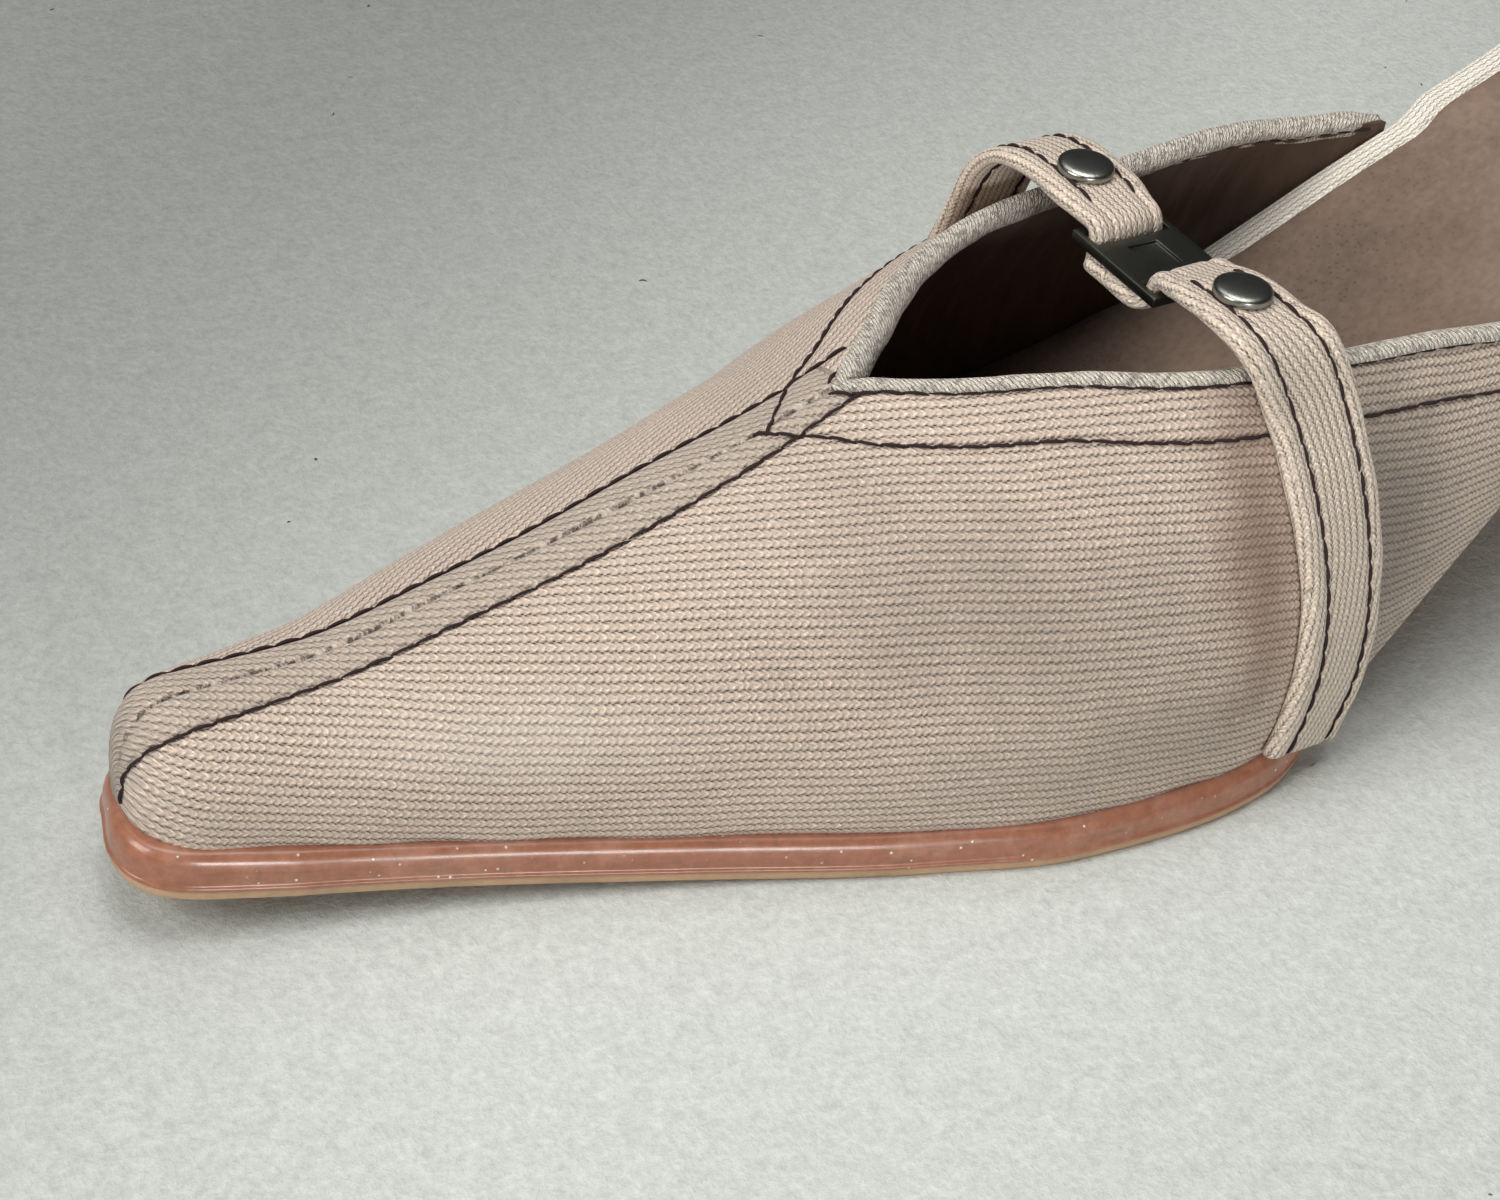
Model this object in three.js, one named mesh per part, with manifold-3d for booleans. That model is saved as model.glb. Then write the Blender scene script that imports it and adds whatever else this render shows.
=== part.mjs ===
import * as THREE from 'three';
import { mergeVertices } from 'three/addons/utils/BufferGeometryUtils.js';
import Module from 'manifold-3d';

// A pointed, high-heeled mule of ribbed twill for the left foot, size 38, in millimetres.
// +X runs from toe to heel, +Y to the inner side of the foot, +Z up from the floor.
// The origin lies on the floor under the tread, midway across the ball.

const wasm = await Module();
wasm.setup();

// Driving sizes of the last
const toeLength = 109.6;
const rearLength = 148;
const ballWidth = 74.8;
const seatWidth = 47;
const heelSwing = 3.2;
const noseRadius = 7.5;
const noseSquareness = 2.5;
const seatRadius = 22;

// Heights
const toeSpring = 5.8;
const springCurve = 1.6;
const treadFore = 35;
const treadRear = 8;
const heelRise = 75.5;
const throatHeight = 42.6;

// Upper
const vampLength = 79.3;
const upperEnd = 67;
const wall = 1.8;
const beadWidth = 2.6;
const beadHeight = 0.75;
const seamBandWidth = 4.1;
const seamBandHeight = 0.35;
const sideSwell = 1.05;
const throatShift = -1.5;

// Sole, insole and heel
const outsoleThick = 0.9;
const soleThick = 3.5;
const insoleThick = 2.9;
const sockThick = 0.8;
const ledge = 2.1;
const tipLedge = 1;
const waistTuck = 0.4;
const rimWidth = 3.3;
const breastDistance = 40;
const tipLength = 12.4;
const tipWidth = 12;
const tipThick = 4.5;
const gap = 0.3;

// Strap, slider plate and rivets
const strapAt = 8.8;
const strapWidth = 11.6;
const slotWidth = 10;
const strapThick = 1.9;
const legSweep = 5.6;
const plateLift = 3.2;
const plateShift = -1.2;
const plateLength = 15;
const plateWidth = 11.6;
const plateThick = 1.2;
const plateCorner = 0.5;
const slotLength = 2.5;
const endBar = 1.1;
const panelLength = 4.6;
const panelWidth = 4;
const panelDepth = 0.35;
const rivetSpacing = 28.4;
const capDiameter = 6.5;
const capHeight = 1.3;
const postDiameter = 2.2;
const washerDiameter = 4.4;
const washerThick = 0.5;

// What follows from the driving sizes
const soleUnder = outsoleThick + gap;
const upperSeat = soleUnder + soleThick + gap;
const sockUnder = upperSeat + insoleThick + gap;
const throatAt = vampLength - toeLength;

// Half width of the last as a share of half the ball width, and towards the rear, as the
// column "seat" grows, of half the seat width. The column "swing" is the share of the heel's
// swing to the inner side. Fore rows run from the tip to the tread, rear rows on to the heel.
const foreOutline = [
  { at: 0, half: 0.2, swing: 0 },
  { at: 0.14, half: 0.302, swing: 0.06 },
  { at: 0.29, half: 0.428, swing: 0.16 },
  { at: 0.49, half: 0.614, swing: 0.06 },
  { at: 0.7, half: 0.83, swing: -0.08 },
  { at: 0.85, half: 0.965, swing: -0.04 },
  { at: 1, half: 1, swing: 0 },
];
const rearOutline = [
  { at: 0.068, half: 0.974, swing: 0.06, seat: 0 },
  { at: 0.135, half: 0.924, swing: 0.12, seat: 0 },
  { at: 0.236, half: 0.833, swing: 0.24, seat: 0 },
  { at: 0.37, half: 0.883, swing: 0.36, seat: 0.5 },
  { at: 0.574, half: 0.905, swing: 0.55, seat: 1 },
  { at: 0.743, half: 0.93, swing: 0.76, seat: 1 },
  { at: 0.865, half: 0.985, swing: 0.93, seat: 1 },
  { at: 1, half: 0.98, swing: 1, seat: 1 },
];

// Rise of the sole's underside behind the tread, as a share of the heel rise
const archRise = [
  { at: 0.1, rise: 0.011 },
  { at: 0.15, rise: 0.045 },
  { at: 0.2, rise: 0.092 },
  { at: 0.27, rise: 0.182 },
  { at: 0.34, rise: 0.279 },
  { at: 0.47, rise: 0.462 },
  { at: 0.61, rise: 0.628 },
  { at: 0.74, rise: 0.778 },
  { at: 0.87, rise: 0.905 },
  { at: 1, rise: 0.985 },
];

// Height of the crest, as a share of the throat height. Vamp rows run from tip to throat.
// Instep rows continue it over the opening, where it only shapes the side walls.
const vampCrest = [
  { at: 0, height: 0.537 },
  { at: 0.25, height: 0.546 },
  { at: 0.45, height: 0.635 },
  { at: 0.65, height: 0.752 },
  { at: 0.85, height: 0.884 },
  { at: 1, height: 1 },
];
const instepCrest = [
  { at: 0, height: 1.31 },
  { at: 0.2, height: 1.555 },
  { at: 0.4, height: 1.88 },
  { at: 0.67, height: 2.15 },
];

// Height of the topline from the throat to the end of the upper, as a share of the throat height
const topline = [
  { at: 0, near: 1, far: 1 },
  { at: 0.082, near: 1.03, far: 1.02 },
  { at: 0.225, near: 1.075, far: 1.015 },
  { at: 0.41, near: 1.08, far: 1.008 },
  { at: 0.63, near: 1.085, far: 1.026 },
  { at: 0.775, near: 1.068, far: 1.005 },
  { at: 0.877, near: 1.03, far: 0.97 },
];

// Roundness of the upper's section: how square its shoulder is and how flat its crest
const toeRound = { shoulder: 2.9, crown: 2.5 };
const throatRound = { shoulder: 2.19, crown: 1.31 };

// Shares of a rounded end's quarter turn at which its rows stand
const upperNoseTurns = [0.12, 0.26, 0.42, 0.6, 0.8, 1];
const soleEndTurns = [0.1, 0.22, 0.36, 0.52, 0.72, 0.9];

const quarterTurn = Math.PI / 2;
const clamp = (value, low, high) => Math.min(Math.max(value, low), high);
const lerp = THREE.MathUtils.lerp;
const ease = THREE.MathUtils.smoothstep;

// A smooth curve through points that never overshoots them
function monotone(xs, ys) {
  const steps = xs.slice(1).map((x, i) => (ys[i + 1] - ys[i]) / (x - xs[i]));
  const slopes = ys.map((_, i) => {
    const before = steps[i - 1] ?? steps[0];
    const after = steps[i] ?? steps[steps.length - 1];
    return before * after <= 0 ? 0 : (2 * before * after) / (before + after);
  });
  return (x) => {
    const i = clamp(xs.findIndex((value) => value > x) - 1, 0, xs.length - 2);
    const k = x >= xs[xs.length - 1] ? xs.length - 2 : i;
    const width = xs[k + 1] - xs[k];
    const t = clamp((x - xs[k]) / width, 0, 1);
    const rise = (3 - 2 * t) * t * t;
    const lead = t * (1 - t) * (1 - t) * width * slopes[k];
    const trail = t * t * (t - 1) * width * slopes[k + 1];
    return ys[k] * (1 - rise) + ys[k + 1] * rise + lead + trail;
  };
}

// One curve over the tip-to-tread rows and the rear rows
function alongFoot(foreRows, foreLength, rearRows, value) {
  const fore = foreRows.map((row) => [row.at * foreLength - toeLength, value(row)]);
  const rear = rearRows.map((row) => [row.at * rearLength, value(row)]);
  const points = [...fore, ...rear];
  return monotone(points.map(([x]) => x), points.map(([, y]) => y));
}

const plainHalf = alongFoot(foreOutline, toeLength, rearOutline, (row) =>
  row.half * lerp(ballWidth, seatWidth, row.seat ?? 0) / 2);
const centre = alongFoot(foreOutline, toeLength, rearOutline, (row) => row.swing * heelSwing);
const plainCrest = alongFoot(vampCrest, vampLength, instepCrest, (row) =>
  row.height * throatHeight);
const arch = monotone(
  [treadRear, ...archRise.map((row) => row.at * rearLength)],
  [0, ...archRise.map((row) => row.rise * heelRise)],
);

// Share of the full size that a rounded end leaves at a distance from its tip
function rounding(distance, radius, power) {
  const left = 1 - clamp(distance / radius, 0, 1);
  return (1 - left ** power) ** (1 / power);
}

// Half width of the last's outline, let out by grow or taken in where grow is below zero
function halfWidth(x, grow) {
  const toe = rounding(x + toeLength + grow, noseRadius + grow, noseSquareness);
  const back = rounding(rearLength + grow - x, seatRadius + grow, 2);
  return (plainHalf(x) + grow) * toe * back;
}

// Height of the sole's underside: sprung toe, flat tread, rising arch and seat
function underside(x) {
  if (x < -treadFore) {
    return toeSpring * ((-treadFore - x) / (toeLength + tipLedge - treadFore)) ** springCurve;
  }
  return x > treadRear ? arch(x) : 0;
}

const upperBase = (x) => underside(x) + upperSeat;

// How far the sole stands out past the upper: a ledge round the forepart, tucked in behind
function soleGrow(x) {
  const round = lerp(tipLedge, ledge, ease(x, -toeLength, -toeLength + 2 * noseRadius));
  return lerp(round, -waistTuck, ease(x, strapAt + strapWidth / 2, strapAt + 2 * strapWidth));
}

// Height of the crest with the rounded nose, let in by inset
function crest(x, inset) {
  const foot = upperBase(x);
  const nose = rounding(x + toeLength - inset, noseRadius - inset, noseSquareness + 0.3);
  return foot + (plainCrest(x) - foot - inset) * nose;
}

// A point of the last's skin at the station x and the share r of the crest's height.
// The section is a superellipse whose lower part swells, square at the toe, peaked at the throat.
function skin(x, r, side, inset) {
  const foot = upperBase(x);
  const half = halfWidth(x, -inset);
  const back = clamp((x + toeLength) / vampLength, 0, 1);
  const shoulder = lerp(toeRound.shoulder, throatRound.shoulder, back);
  const crown = lerp(toeRound.crown, throatRound.crown, back);
  const swell = sideSwell * 4 * r * (1 - r) ** 2 * Math.min(half / (ballWidth / 4), 1);
  const reach = (half + swell) * Math.max(1 - r ** shoulder, 0) ** (1 / crown);
  const y = centre(x) + lerp(0, throatShift, back) * r + side * reach;
  return new THREE.Vector3(x, y, lerp(foot, crest(x, inset), r));
}

// Height of the topline on one side, down to the end of the upper
const toplineCurves = [['near', -1], ['far', 1]].map(([column]) => monotone(
  [...topline.map((row) => throatAt + row.at * (upperEnd - throatAt)), upperEnd],
  [...topline.map((row) => row[column] * throatHeight), upperBase(upperEnd) + insoleThick],
));
const toplineHeight = (x, side) => toplineCurves[side < 0 ? 0 : 1](x);

// Share of the crest's height at which the skin ends: the crest itself, or the topline
function topShare(x, side) {
  if (x <= throatAt) {
    return 1;
  }
  const foot = upperBase(x);
  return clamp((toplineHeight(x, side) - foot) / (crest(x, 0) - foot), 0, 1);
}

// Columns near the top of a section, in edge widths below it, and the shares of their reliefs
const closeColumns = [
  { down: 1.9, band: 0, bead: 0 },
  { down: 1.25, band: 0, bead: 0 },
  { down: 1, band: 1, bead: 0.75 },
  { down: 0.5, band: 1, bead: 1 },
  { down: 0, band: 1, bead: 0.4 },
];
const plainColumns = 9;
const columns = plainColumns + closeColumns.length;

// Places of a section's columns, as shares of its length up from the feather line
function columnPlaces(length, edge) {
  const room = Math.min(1, length / (3.2 * edge));
  const close = closeColumns.map(({ down }) => 1 - down * edge * room / length);
  const plain = Array.from({ length: plainColumns }, (_, i) => i / plainColumns * close[0]);
  return [...plain, ...close];
}

// One section of the upper's outer or inner face, from the feather line up
function section(x, side, inset) {
  const samples = 72;
  const shoulder = throatRound.shoulder;
  const end = Math.asin(topShare(x, side) ** (shoulder / 2));
  const points = Array.from({ length: samples + 1 }, (_, i) =>
    skin(x, Math.min(Math.sin(end * i / samples) ** (2 / shoulder), 1), side, inset));
  const lengths = [0];
  for (let i = 1; i <= samples; i += 1) {
    lengths.push(lengths[i - 1] + points[i].distanceTo(points[i - 1]));
  }
  const total = lengths[samples];
  const open = ease(x, throatAt, throatAt + beadWidth);
  const edge = lerp(seamBandWidth, beadWidth, open);
  const places = columnPlaces(total, edge);
  const steps = closeColumns.map(({ band, bead }) =>
    lerp(band * seamBandHeight, bead * beadHeight, open));
  const nose = rounding(x + toeLength, noseRadius * 2, 2);
  return places.map((place, i) => {
    const along = place * total;
    const k = clamp(lengths.findIndex((length) => length >= along), 1, samples);
    const t = (along - lengths[k - 1]) / (lengths[k] - lengths[k - 1]);
    const point = points[k - 1].clone().lerp(points[k], t);
    if (inset > 0 || i < plainColumns) {
      return point;
    }
    const run = points[k].clone().sub(points[k - 1]).normalize();
    const out = x <= throatAt && i === columns - 1
      ? new THREE.Vector3(0, 0, 1)
      : new THREE.Vector3(0, side * run.z, -side * run.y);
    return point.addScaledVector(out, steps[i - plainColumns] * nose);
  });
}

// Stations along the foot, close together round the nose and behind the throat
function upperStations() {
  const noseRows = upperNoseTurns.map((turn) =>
    noseRadius * (1 - Math.cos(turn * quarterTurn)) - toeLength);
  const start = noseRadius - toeLength;
  const vampSteps = 11;
  const sideSteps = 17;
  const vampRows = Array.from({ length: vampSteps }, (_, i) =>
    lerp(start, throatAt, (i + 1) / vampSteps));
  const sideRows = Array.from({ length: sideSteps }, (_, i) =>
    lerp(throatAt, upperEnd, ((i + 1) / sideSteps) ** 1.45));
  const throatRow = noseRows.length + vampSteps - 1;
  return { rows: [...noseRows, ...vampRows, ...sideRows], throatRow };
}

// A closed mesh from corner points and triangles, its faces turned outwards
function closedMesh(points, triangles) {
  const volume = triangles.reduce((sum, [a, b, c]) =>
    sum + points[a].dot(new THREE.Vector3().crossVectors(points[b], points[c])), 0);
  const order = volume < 0 ? triangles.map(([a, b, c]) => [a, c, b]) : triangles;
  const geometry = new THREE.BufferGeometry();
  const places = points.flatMap((point) => point.toArray());
  geometry.setAttribute('position', new THREE.Float32BufferAttribute(places, 3));
  geometry.setIndex(order.flat());
  return mergeVertices(geometry, 1e-4);
}

// A closed loft through rings of equally many points, with a flat fan over each end
function loft(rings) {
  const count = rings[0].length;
  const points = rings.flat();
  const triangles = [];
  for (let i = 0; i < rings.length - 1; i += 1) {
    for (let j = 0; j < count; j += 1) {
      const a = i * count + j;
      const b = i * count + (j + 1) % count;
      triangles.push([a, b, b + count], [a, b + count, a + count]);
    }
  }
  for (const [row, turn] of [[0, false], [rings.length - 1, true]]) {
    const middle = points.length;
    const sum = rings[row].reduce((total, point) => total.add(point), new THREE.Vector3());
    points.push(sum.divideScalar(count));
    for (let j = 0; j < count; j += 1) {
      const a = row * count + j;
      const b = row * count + (j + 1) % count;
      triangles.push(turn ? [a, b, middle] : [b, a, middle]);
    }
  }
  return closedMesh(points, triangles);
}

// The upper: an outer and an inner skin joined along topline, feather line and rear ends.
// Both sides share the crest up to the throat, and a pole closes the nose.
function upperGeometry() {
  const { rows, throatRow } = upperStations();
  const points = [];
  const triangles = [];
  const place = (point) => points.push(point) - 1;
  const skins = [0, wall].map((inset) => {
    const inner = (x) => x + inset * (1 - ease(x, -toeLength, -toeLength + 2 * noseRadius));
    const pole = place(new THREE.Vector3(inset - toeLength, 0, upperBase(inset - toeLength)));
    const sides = [-1, 1].map((side) =>
      rows.map((x) => section(inner(x), side, inset).map(place)));
    for (let i = 0; i <= throatRow; i += 1) {
      sides[1][i][columns - 1] = sides[0][i][columns - 1];
    }
    return { pole, sides };
  });
  const quad = (a, b, c, d, turned) => {
    const pair = turned ? [[a, c, b], [a, d, c]] : [[a, b, c], [a, c, d]];
    triangles.push(...pair);
  };
  skins.forEach(({ pole, sides }, which) => sides.forEach((grid, sideIndex) => {
    const turned = (which + sideIndex) % 2 === 1;
    for (let j = 0; j < columns - 1; j += 1) {
      const [a, b] = turned ? [grid[0][j + 1], grid[0][j]] : [grid[0][j], grid[0][j + 1]];
      triangles.push([pole, b, a]);
      for (let i = 0; i < rows.length - 1; i += 1) {
        quad(grid[i][j], grid[i][j + 1], grid[i + 1][j + 1], grid[i + 1][j], turned);
      }
    }
  }));
  [0, 1].forEach((sideIndex) => {
    const [outer, inner] = skins.map(({ sides }) => sides[sideIndex]);
    const turned = sideIndex === 1;
    const last = rows.length - 1;
    const [outerPole, innerPole] = skins.map(({ pole }) => pole);
    quad(outerPole, outer[0][0], inner[0][0], innerPole, turned);
    for (let i = 0; i < last; i += 1) {
      quad(outer[i][0], outer[i + 1][0], inner[i + 1][0], inner[i][0], turned);
      if (i >= throatRow) {
        const top = columns - 1;
        quad(outer[i][top], inner[i][top], inner[i + 1][top], outer[i + 1][top], turned);
      }
    }
    for (let j = 0; j < columns - 1; j += 1) {
      quad(outer[last][j], outer[last][j + 1], inner[last][j + 1], inner[last][j], turned);
    }
  });
  return closedMesh(points, triangles);
}

// Even steps after from, up to and with to
function evenSteps(from, to, count) {
  return Array.from({ length: count }, (_, i) => lerp(from, to, (i + 1) / count));
}

// Stations of a sole layer, from its rounded tip to its rounded back, closest at the bend
function soleStations(front, back, extra) {
  const turns = soleEndTurns.map((turn) => 1 - Math.cos(turn * quarterTurn));
  const noseRows = turns.map((share) => front + share * (noseRadius + ledge));
  const backRows = turns.map((share) => back - share * seatRadius);
  const start = noseRows[noseRows.length - 1];
  const end = backRows[backRows.length - 1];
  const bendEnd = treadRear + 28;
  const middleRows = [
    ...evenSteps(start, -treadFore, 8),
    ...evenSteps(-treadFore, treadRear, 4),
    ...evenSteps(treadRear, bendEnd, 7),
    ...evenSteps(bendEnd, end, 10).slice(0, -1),
  ];
  return [...noseRows, ...middleRows, ...extra, ...backRows].sort((a, b) => a - b);
}

// A layer of the sole between two ends. It is let out by grow, lies low above the underside
// and has an edge profile of insets and shares of its thickness.
function soleLayer({ front, back, grow, low, thick, profile, extra = [] }) {
  const rings = soleStations(front, back, extra).map((x) => {
    const half = halfWidth(x, grow(x));
    const side = (sign) => profile.map((row) => new THREE.Vector3(
      x,
      centre(x) + sign * Math.max(half - row.inset, half * leastShare),
      underside(x) + low + row.up * thick,
    ));
    return [...side(1), ...side(-1).reverse()];
  });
  return loft(rings);
}

// Least share of its half width that a narrow end keeps under its edge profile
const leastShare = 0.4;

const roundedEdge = [
  { inset: 0.7, up: 0 },
  { inset: 0.12, up: 0.22 },
  { inset: 0, up: 0.5 },
  { inset: 0.25, up: 0.8 },
  { inset: 0.8, up: 1 },
];
const wrappedEdge = [
  { inset: 0.35, up: 0 },
  { inset: 0, up: 0.3 },
  { inset: 0, up: 0.7 },
  { inset: 0.7, up: 1 },
];
const cutEdge = [
  { inset: 0.35, up: 0 },
  { inset: 0.1, up: 1 },
];

// Stations just behind the end of the upper's wall, where the insole widens
const wallEnd = [upperEnd + gap, upperEnd + 6];

// How far the insole's edge stands in from the last's outline: inside the wall, flush behind it
const insoleInset = (x) => (wall + gap) * (1 - ease(x, wallEnd[0], wallEnd[1]));

// Rings of the heel from the sole down: the setback and length are shares of the breast
// distance, the width a share of the seat width
const heelRows = [
  { down: 0, back: 0, length: 1, width: 0.87 },
  { down: 0.1, back: 0.02, length: 0.86, width: 0.74 },
  { down: 0.25, back: 0.05, length: 0.64, width: 0.56 },
  { down: 0.5, back: 0.08, length: 0.42, width: 0.38 },
  { down: 0.78, back: 0.11, length: 0.33, width: 0.28 },
  { down: 1, back: 0.12, length: tipLength / breastDistance, width: tipWidth / seatWidth },
];

// The heel, hollow-lined towards its slim tip, with squarish oval sections
function heelGeometry() {
  const back = rearLength - waistTuck - tipLedge / 2;
  const foot = tipThick + gap;
  const around = 28;
  const rings = heelRows.map((row) => {
    const halfLength = row.length * breastDistance / 2;
    const middle = back - row.back * breastDistance / 2 - halfLength;
    return Array.from({ length: around }, (_, i) => {
      const angle = i / around * 2 * Math.PI;
      const bend = (value) => Math.sign(value) * Math.abs(value) ** 0.8;
      const x = middle + halfLength * bend(Math.cos(angle));
      const y = centre(x) + row.width * seatWidth / 2 * bend(Math.sin(angle));
      return new THREE.Vector3(x, y, lerp(underside(x) - gap, foot, row.down));
    });
  });
  return { geometry: loft(rings), tipRing: rings[rings.length - 1] };
}

// The heel's wearing tip: a block under the heel's last ring
function topPieceGeometry(tipRing) {
  const middle = tipRing.reduce((sum, point) => sum + point.x, 0) / tipRing.length;
  const axis = centre(middle);
  const level = (height, share) => tipRing.map((point) =>
    new THREE.Vector3(lerp(middle, point.x, share), lerp(axis, point.y, share), height));
  return loft([level(0, 0.95), level(0.6, 1), level(tipThick, 1)]);
}

// The y of the outer wall where it meets a height, and the wall's outward normal there
function wallAt(x, z, side) {
  const share = (at, height) =>
    clamp((height - upperBase(at)) / (crest(at, 0) - upperBase(at)), 0, 1);
  const point = skin(x, share(x, z), side, 0);
  const fore = skin(x + 1, share(x + 1, z), side, 0).sub(point);
  const up = skin(x, share(x, z + 1), side, 0).sub(point);
  const normal = new THREE.Vector3().crossVectors(fore, up).normalize();
  return { point, normal: normal.y * side < 0 ? normal.negate() : normal, fore: fore.normalize() };
}

// The strap's two legs leave the wall at a share of the topline's height, bow up on handles of
// two lengths and lie under their rivets at a lift above the plate's end bars
const legs = [
  { side: -1, leave: 0.9, low: 0.5, high: 0.5, lift: 1.2 },
  { side: 1, leave: 0.7, low: 0.5, high: 0.52, lift: 0.6 },
];

// Backward sweep of a leg, as a share of the leg's sweep, against the share of its height
const legLine = {
  '-1': [
    { up: 0, back: 0.45 },
    { up: 0.2, back: 0.95 },
    { up: 0.42, back: 1.05 },
    { up: 0.75, back: 0.85 },
    { up: 1, back: 0.6 },
  ],
  1: [
    { up: 0, back: -0.1 },
    { up: 1, back: -0.1 },
  ],
};

// Height of the plate's upper face and where its centre lies across the foot
const plateTop = Math.max(toplineHeight(strapAt, -1), toplineHeight(strapAt, 1)) + plateLift;
const overBar = plateTop + gap + strapThick / 2;
const underWeb = plateTop - plateThick - gap - strapThick / 2;

// One half of the strap, from the sole's edge to the middle of the plate's underside
function strapHalf({ side, leave, low, high, lift }) {
  const sweep = monotone(legLine[side].map((row) => row.up), legLine[side].map((row) => row.back));
  const off = gap + strapThick / 2;
  const foot = upperBase(strapAt);
  const leaveHeight = lerp(foot, toplineHeight(strapAt, side), leave);
  const wallSteps = 8;
  const onWall = Array.from({ length: wallSteps + 1 }, (_, i) => {
    const z = lerp(foot, leaveHeight, i / wallSteps);
    const x = strapAt + legSweep * sweep((z - foot) / (plateTop - foot));
    const { point, normal, fore } = wallAt(x, z, side);
    return { at: point.addScaledVector(normal, off), across: fore };
  });
  const leaving = onWall[wallSteps].at;
  const rise = leaving.clone().sub(onWall[wallSteps - 1].at).normalize();
  const rivetY = plateShift + side * rivetSpacing / 2;
  const seatY = rivetY + side * (capDiameter / 2 + gap);
  const landing = new THREE.Vector3(strapAt, seatY, overBar + lift);
  const reach = landing.distanceTo(leaving);
  const bow = new THREE.CubicBezierCurve3(
    leaving,
    leaving.clone().addScaledVector(rise, low * reach),
    landing.clone().add(new THREE.Vector3(0, side * high * reach, 0)),
    landing,
  );
  const across = new THREE.Vector3(1, 0, 0);
  const airSteps = 8;
  const inAir = bow.getPoints(airSteps).slice(1).map((at, i) => ({
    at,
    across: onWall[wallSteps].across.clone().lerp(across, (i + 1) / airSteps),
  }));
  const slotY = side * (plateLength / 2 - endBar - slotLength / 2);
  const bend = (overBar - underWeb) / 2 * 0.72;
  const turn = (y, z, from, to) => Array.from({ length: 5 }, (_, i) => {
    const angle = lerp(from, to, i / 4);
    return [y + side * bend * Math.cos(angle), z + bend * Math.sin(angle)];
  });
  const threaded = [
    [slotY + side * (bend + endBar), overBar],
    ...turn(slotY + side * bend, overBar - bend, quarterTurn, 2 * quarterTurn),
    ...turn(slotY - side * bend, underWeb + bend, 0, -quarterTurn),
  ].map(([y, z]) => ({ at: new THREE.Vector3(strapAt, plateShift + y, z), across, pinched: true }));
  const seat = [0, -1].map((step) => ({
    at: new THREE.Vector3(strapAt, rivetY + step * side * capDiameter / 2, overBar + lift),
    across,
  }));
  return [...onWall, ...inAir, ...seat, ...threaded];
}

// The rounded section of the strap, as shares of its half width and half thickness
const strapSection = [
  { wide: 1, thick: 0.45 },
  { wide: 0.9, thick: 1 },
  { wide: -0.9, thick: 1 },
  { wide: -1, thick: 0.45 },
  { wide: -1, thick: -0.45 },
  { wide: -0.9, thick: -1 },
  { wide: 0.9, thick: -1 },
  { wide: 1, thick: -0.45 },
];

// The strap as one ribbon from the near side's sole edge to the far side's
function strapGeometry() {
  const path = [...strapHalf(legs[0]), ...strapHalf(legs[1]).reverse()];
  const rings = path.map(({ at, across, pinched }, i) => {
    const before = path[Math.max(i - 1, 0)].at;
    const after = path[Math.min(i + 1, path.length - 1)].at;
    const along = after.clone().sub(before).normalize();
    const up = new THREE.Vector3().crossVectors(along, across).normalize();
    const side = new THREE.Vector3().crossVectors(up, along).normalize();
    const width = pinched ? slotWidth - 2 * gap : strapWidth;
    return strapSection.map(({ wide, thick }) => at.clone()
      .addScaledVector(side, wide * width / 2)
      .addScaledVector(up, thick * strapThick / 2));
  });
  for (const ring of [rings[0], rings[rings.length - 1]]) {
    ring.forEach((point) => point.setZ(upperBase(point.x)));
  }
  return loft(rings);
}

// A solid for cutting, from a closed geometry
function solidOf(geometry) {
  const plain = geometry.clone();
  plain.deleteAttribute('normal');
  plain.deleteAttribute('uv');
  const merged = mergeVertices(plain, 1e-4);
  return new wasm.Manifold(new wasm.Mesh({
    numProp: 3,
    vertProperties: new Float32Array(merged.attributes.position.array),
    triVerts: new Uint32Array(merged.index.array),
  }));
}

function geometryOf(solid) {
  const { vertProperties, triVerts, numProp } = solid.getMesh();
  const geometry = new THREE.BufferGeometry();
  const places = Array.from({ length: vertProperties.length / numProp * 3 }, (_, i) =>
    vertProperties[Math.floor(i / 3) * numProp + i % 3]);
  geometry.setAttribute('position', new THREE.Float32BufferAttribute(places, 3));
  geometry.setIndex(Array.from(triVerts));
  return geometry;
}

const rivetPlaces = legs.map(({ side, lift }) =>
  [strapAt, plateShift + side * rivetSpacing / 2, overBar + lift]);

// The strap with a hole for each rivet's post
function piercedStrap() {
  const holes = rivetPlaces.map((place) => {
    const radius = postDiameter / 2 + gap;
    const hole = new THREE.CylinderGeometry(radius, radius, 3 * strapThick, 16);
    hole.rotateX(Math.PI / 2);
    hole.translate(...place);
    return solidOf(hole);
  });
  return geometryOf(holes.reduce((strap, hole) => strap.subtract(hole), solidOf(strapGeometry())));
}

// A rivet: domed cap over the strap, post through it and a washer under it
function rivetGeometry() {
  const capUnder = strapThick / 2 + gap;
  const washerTop = -strapThick / 2 - gap;
  const radius = capDiameter / 2;
  const dome = Array.from({ length: 6 }, (_, i) => {
    const angle = i / 5 * Math.PI / 2;
    const height = capHeight * (0.3 + 0.7 * Math.sin(angle));
    return new THREE.Vector2(Math.max(radius * Math.cos(angle), 0), capUnder + height);
  });
  const profile = [
    new THREE.Vector2(0, washerTop - washerThick),
    new THREE.Vector2(washerDiameter / 2, washerTop - washerThick),
    new THREE.Vector2(washerDiameter / 2, washerTop),
    new THREE.Vector2(postDiameter / 2, washerTop),
    new THREE.Vector2(postDiameter / 2, capUnder),
    new THREE.Vector2(radius, capUnder),
    ...dome.slice(0, 5),
    new THREE.Vector2(0, dome[5].y),
  ];
  const geometry = new THREE.LatheGeometry(profile, 20);
  geometry.rotateX(Math.PI / 2);
  return geometry;
}

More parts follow.
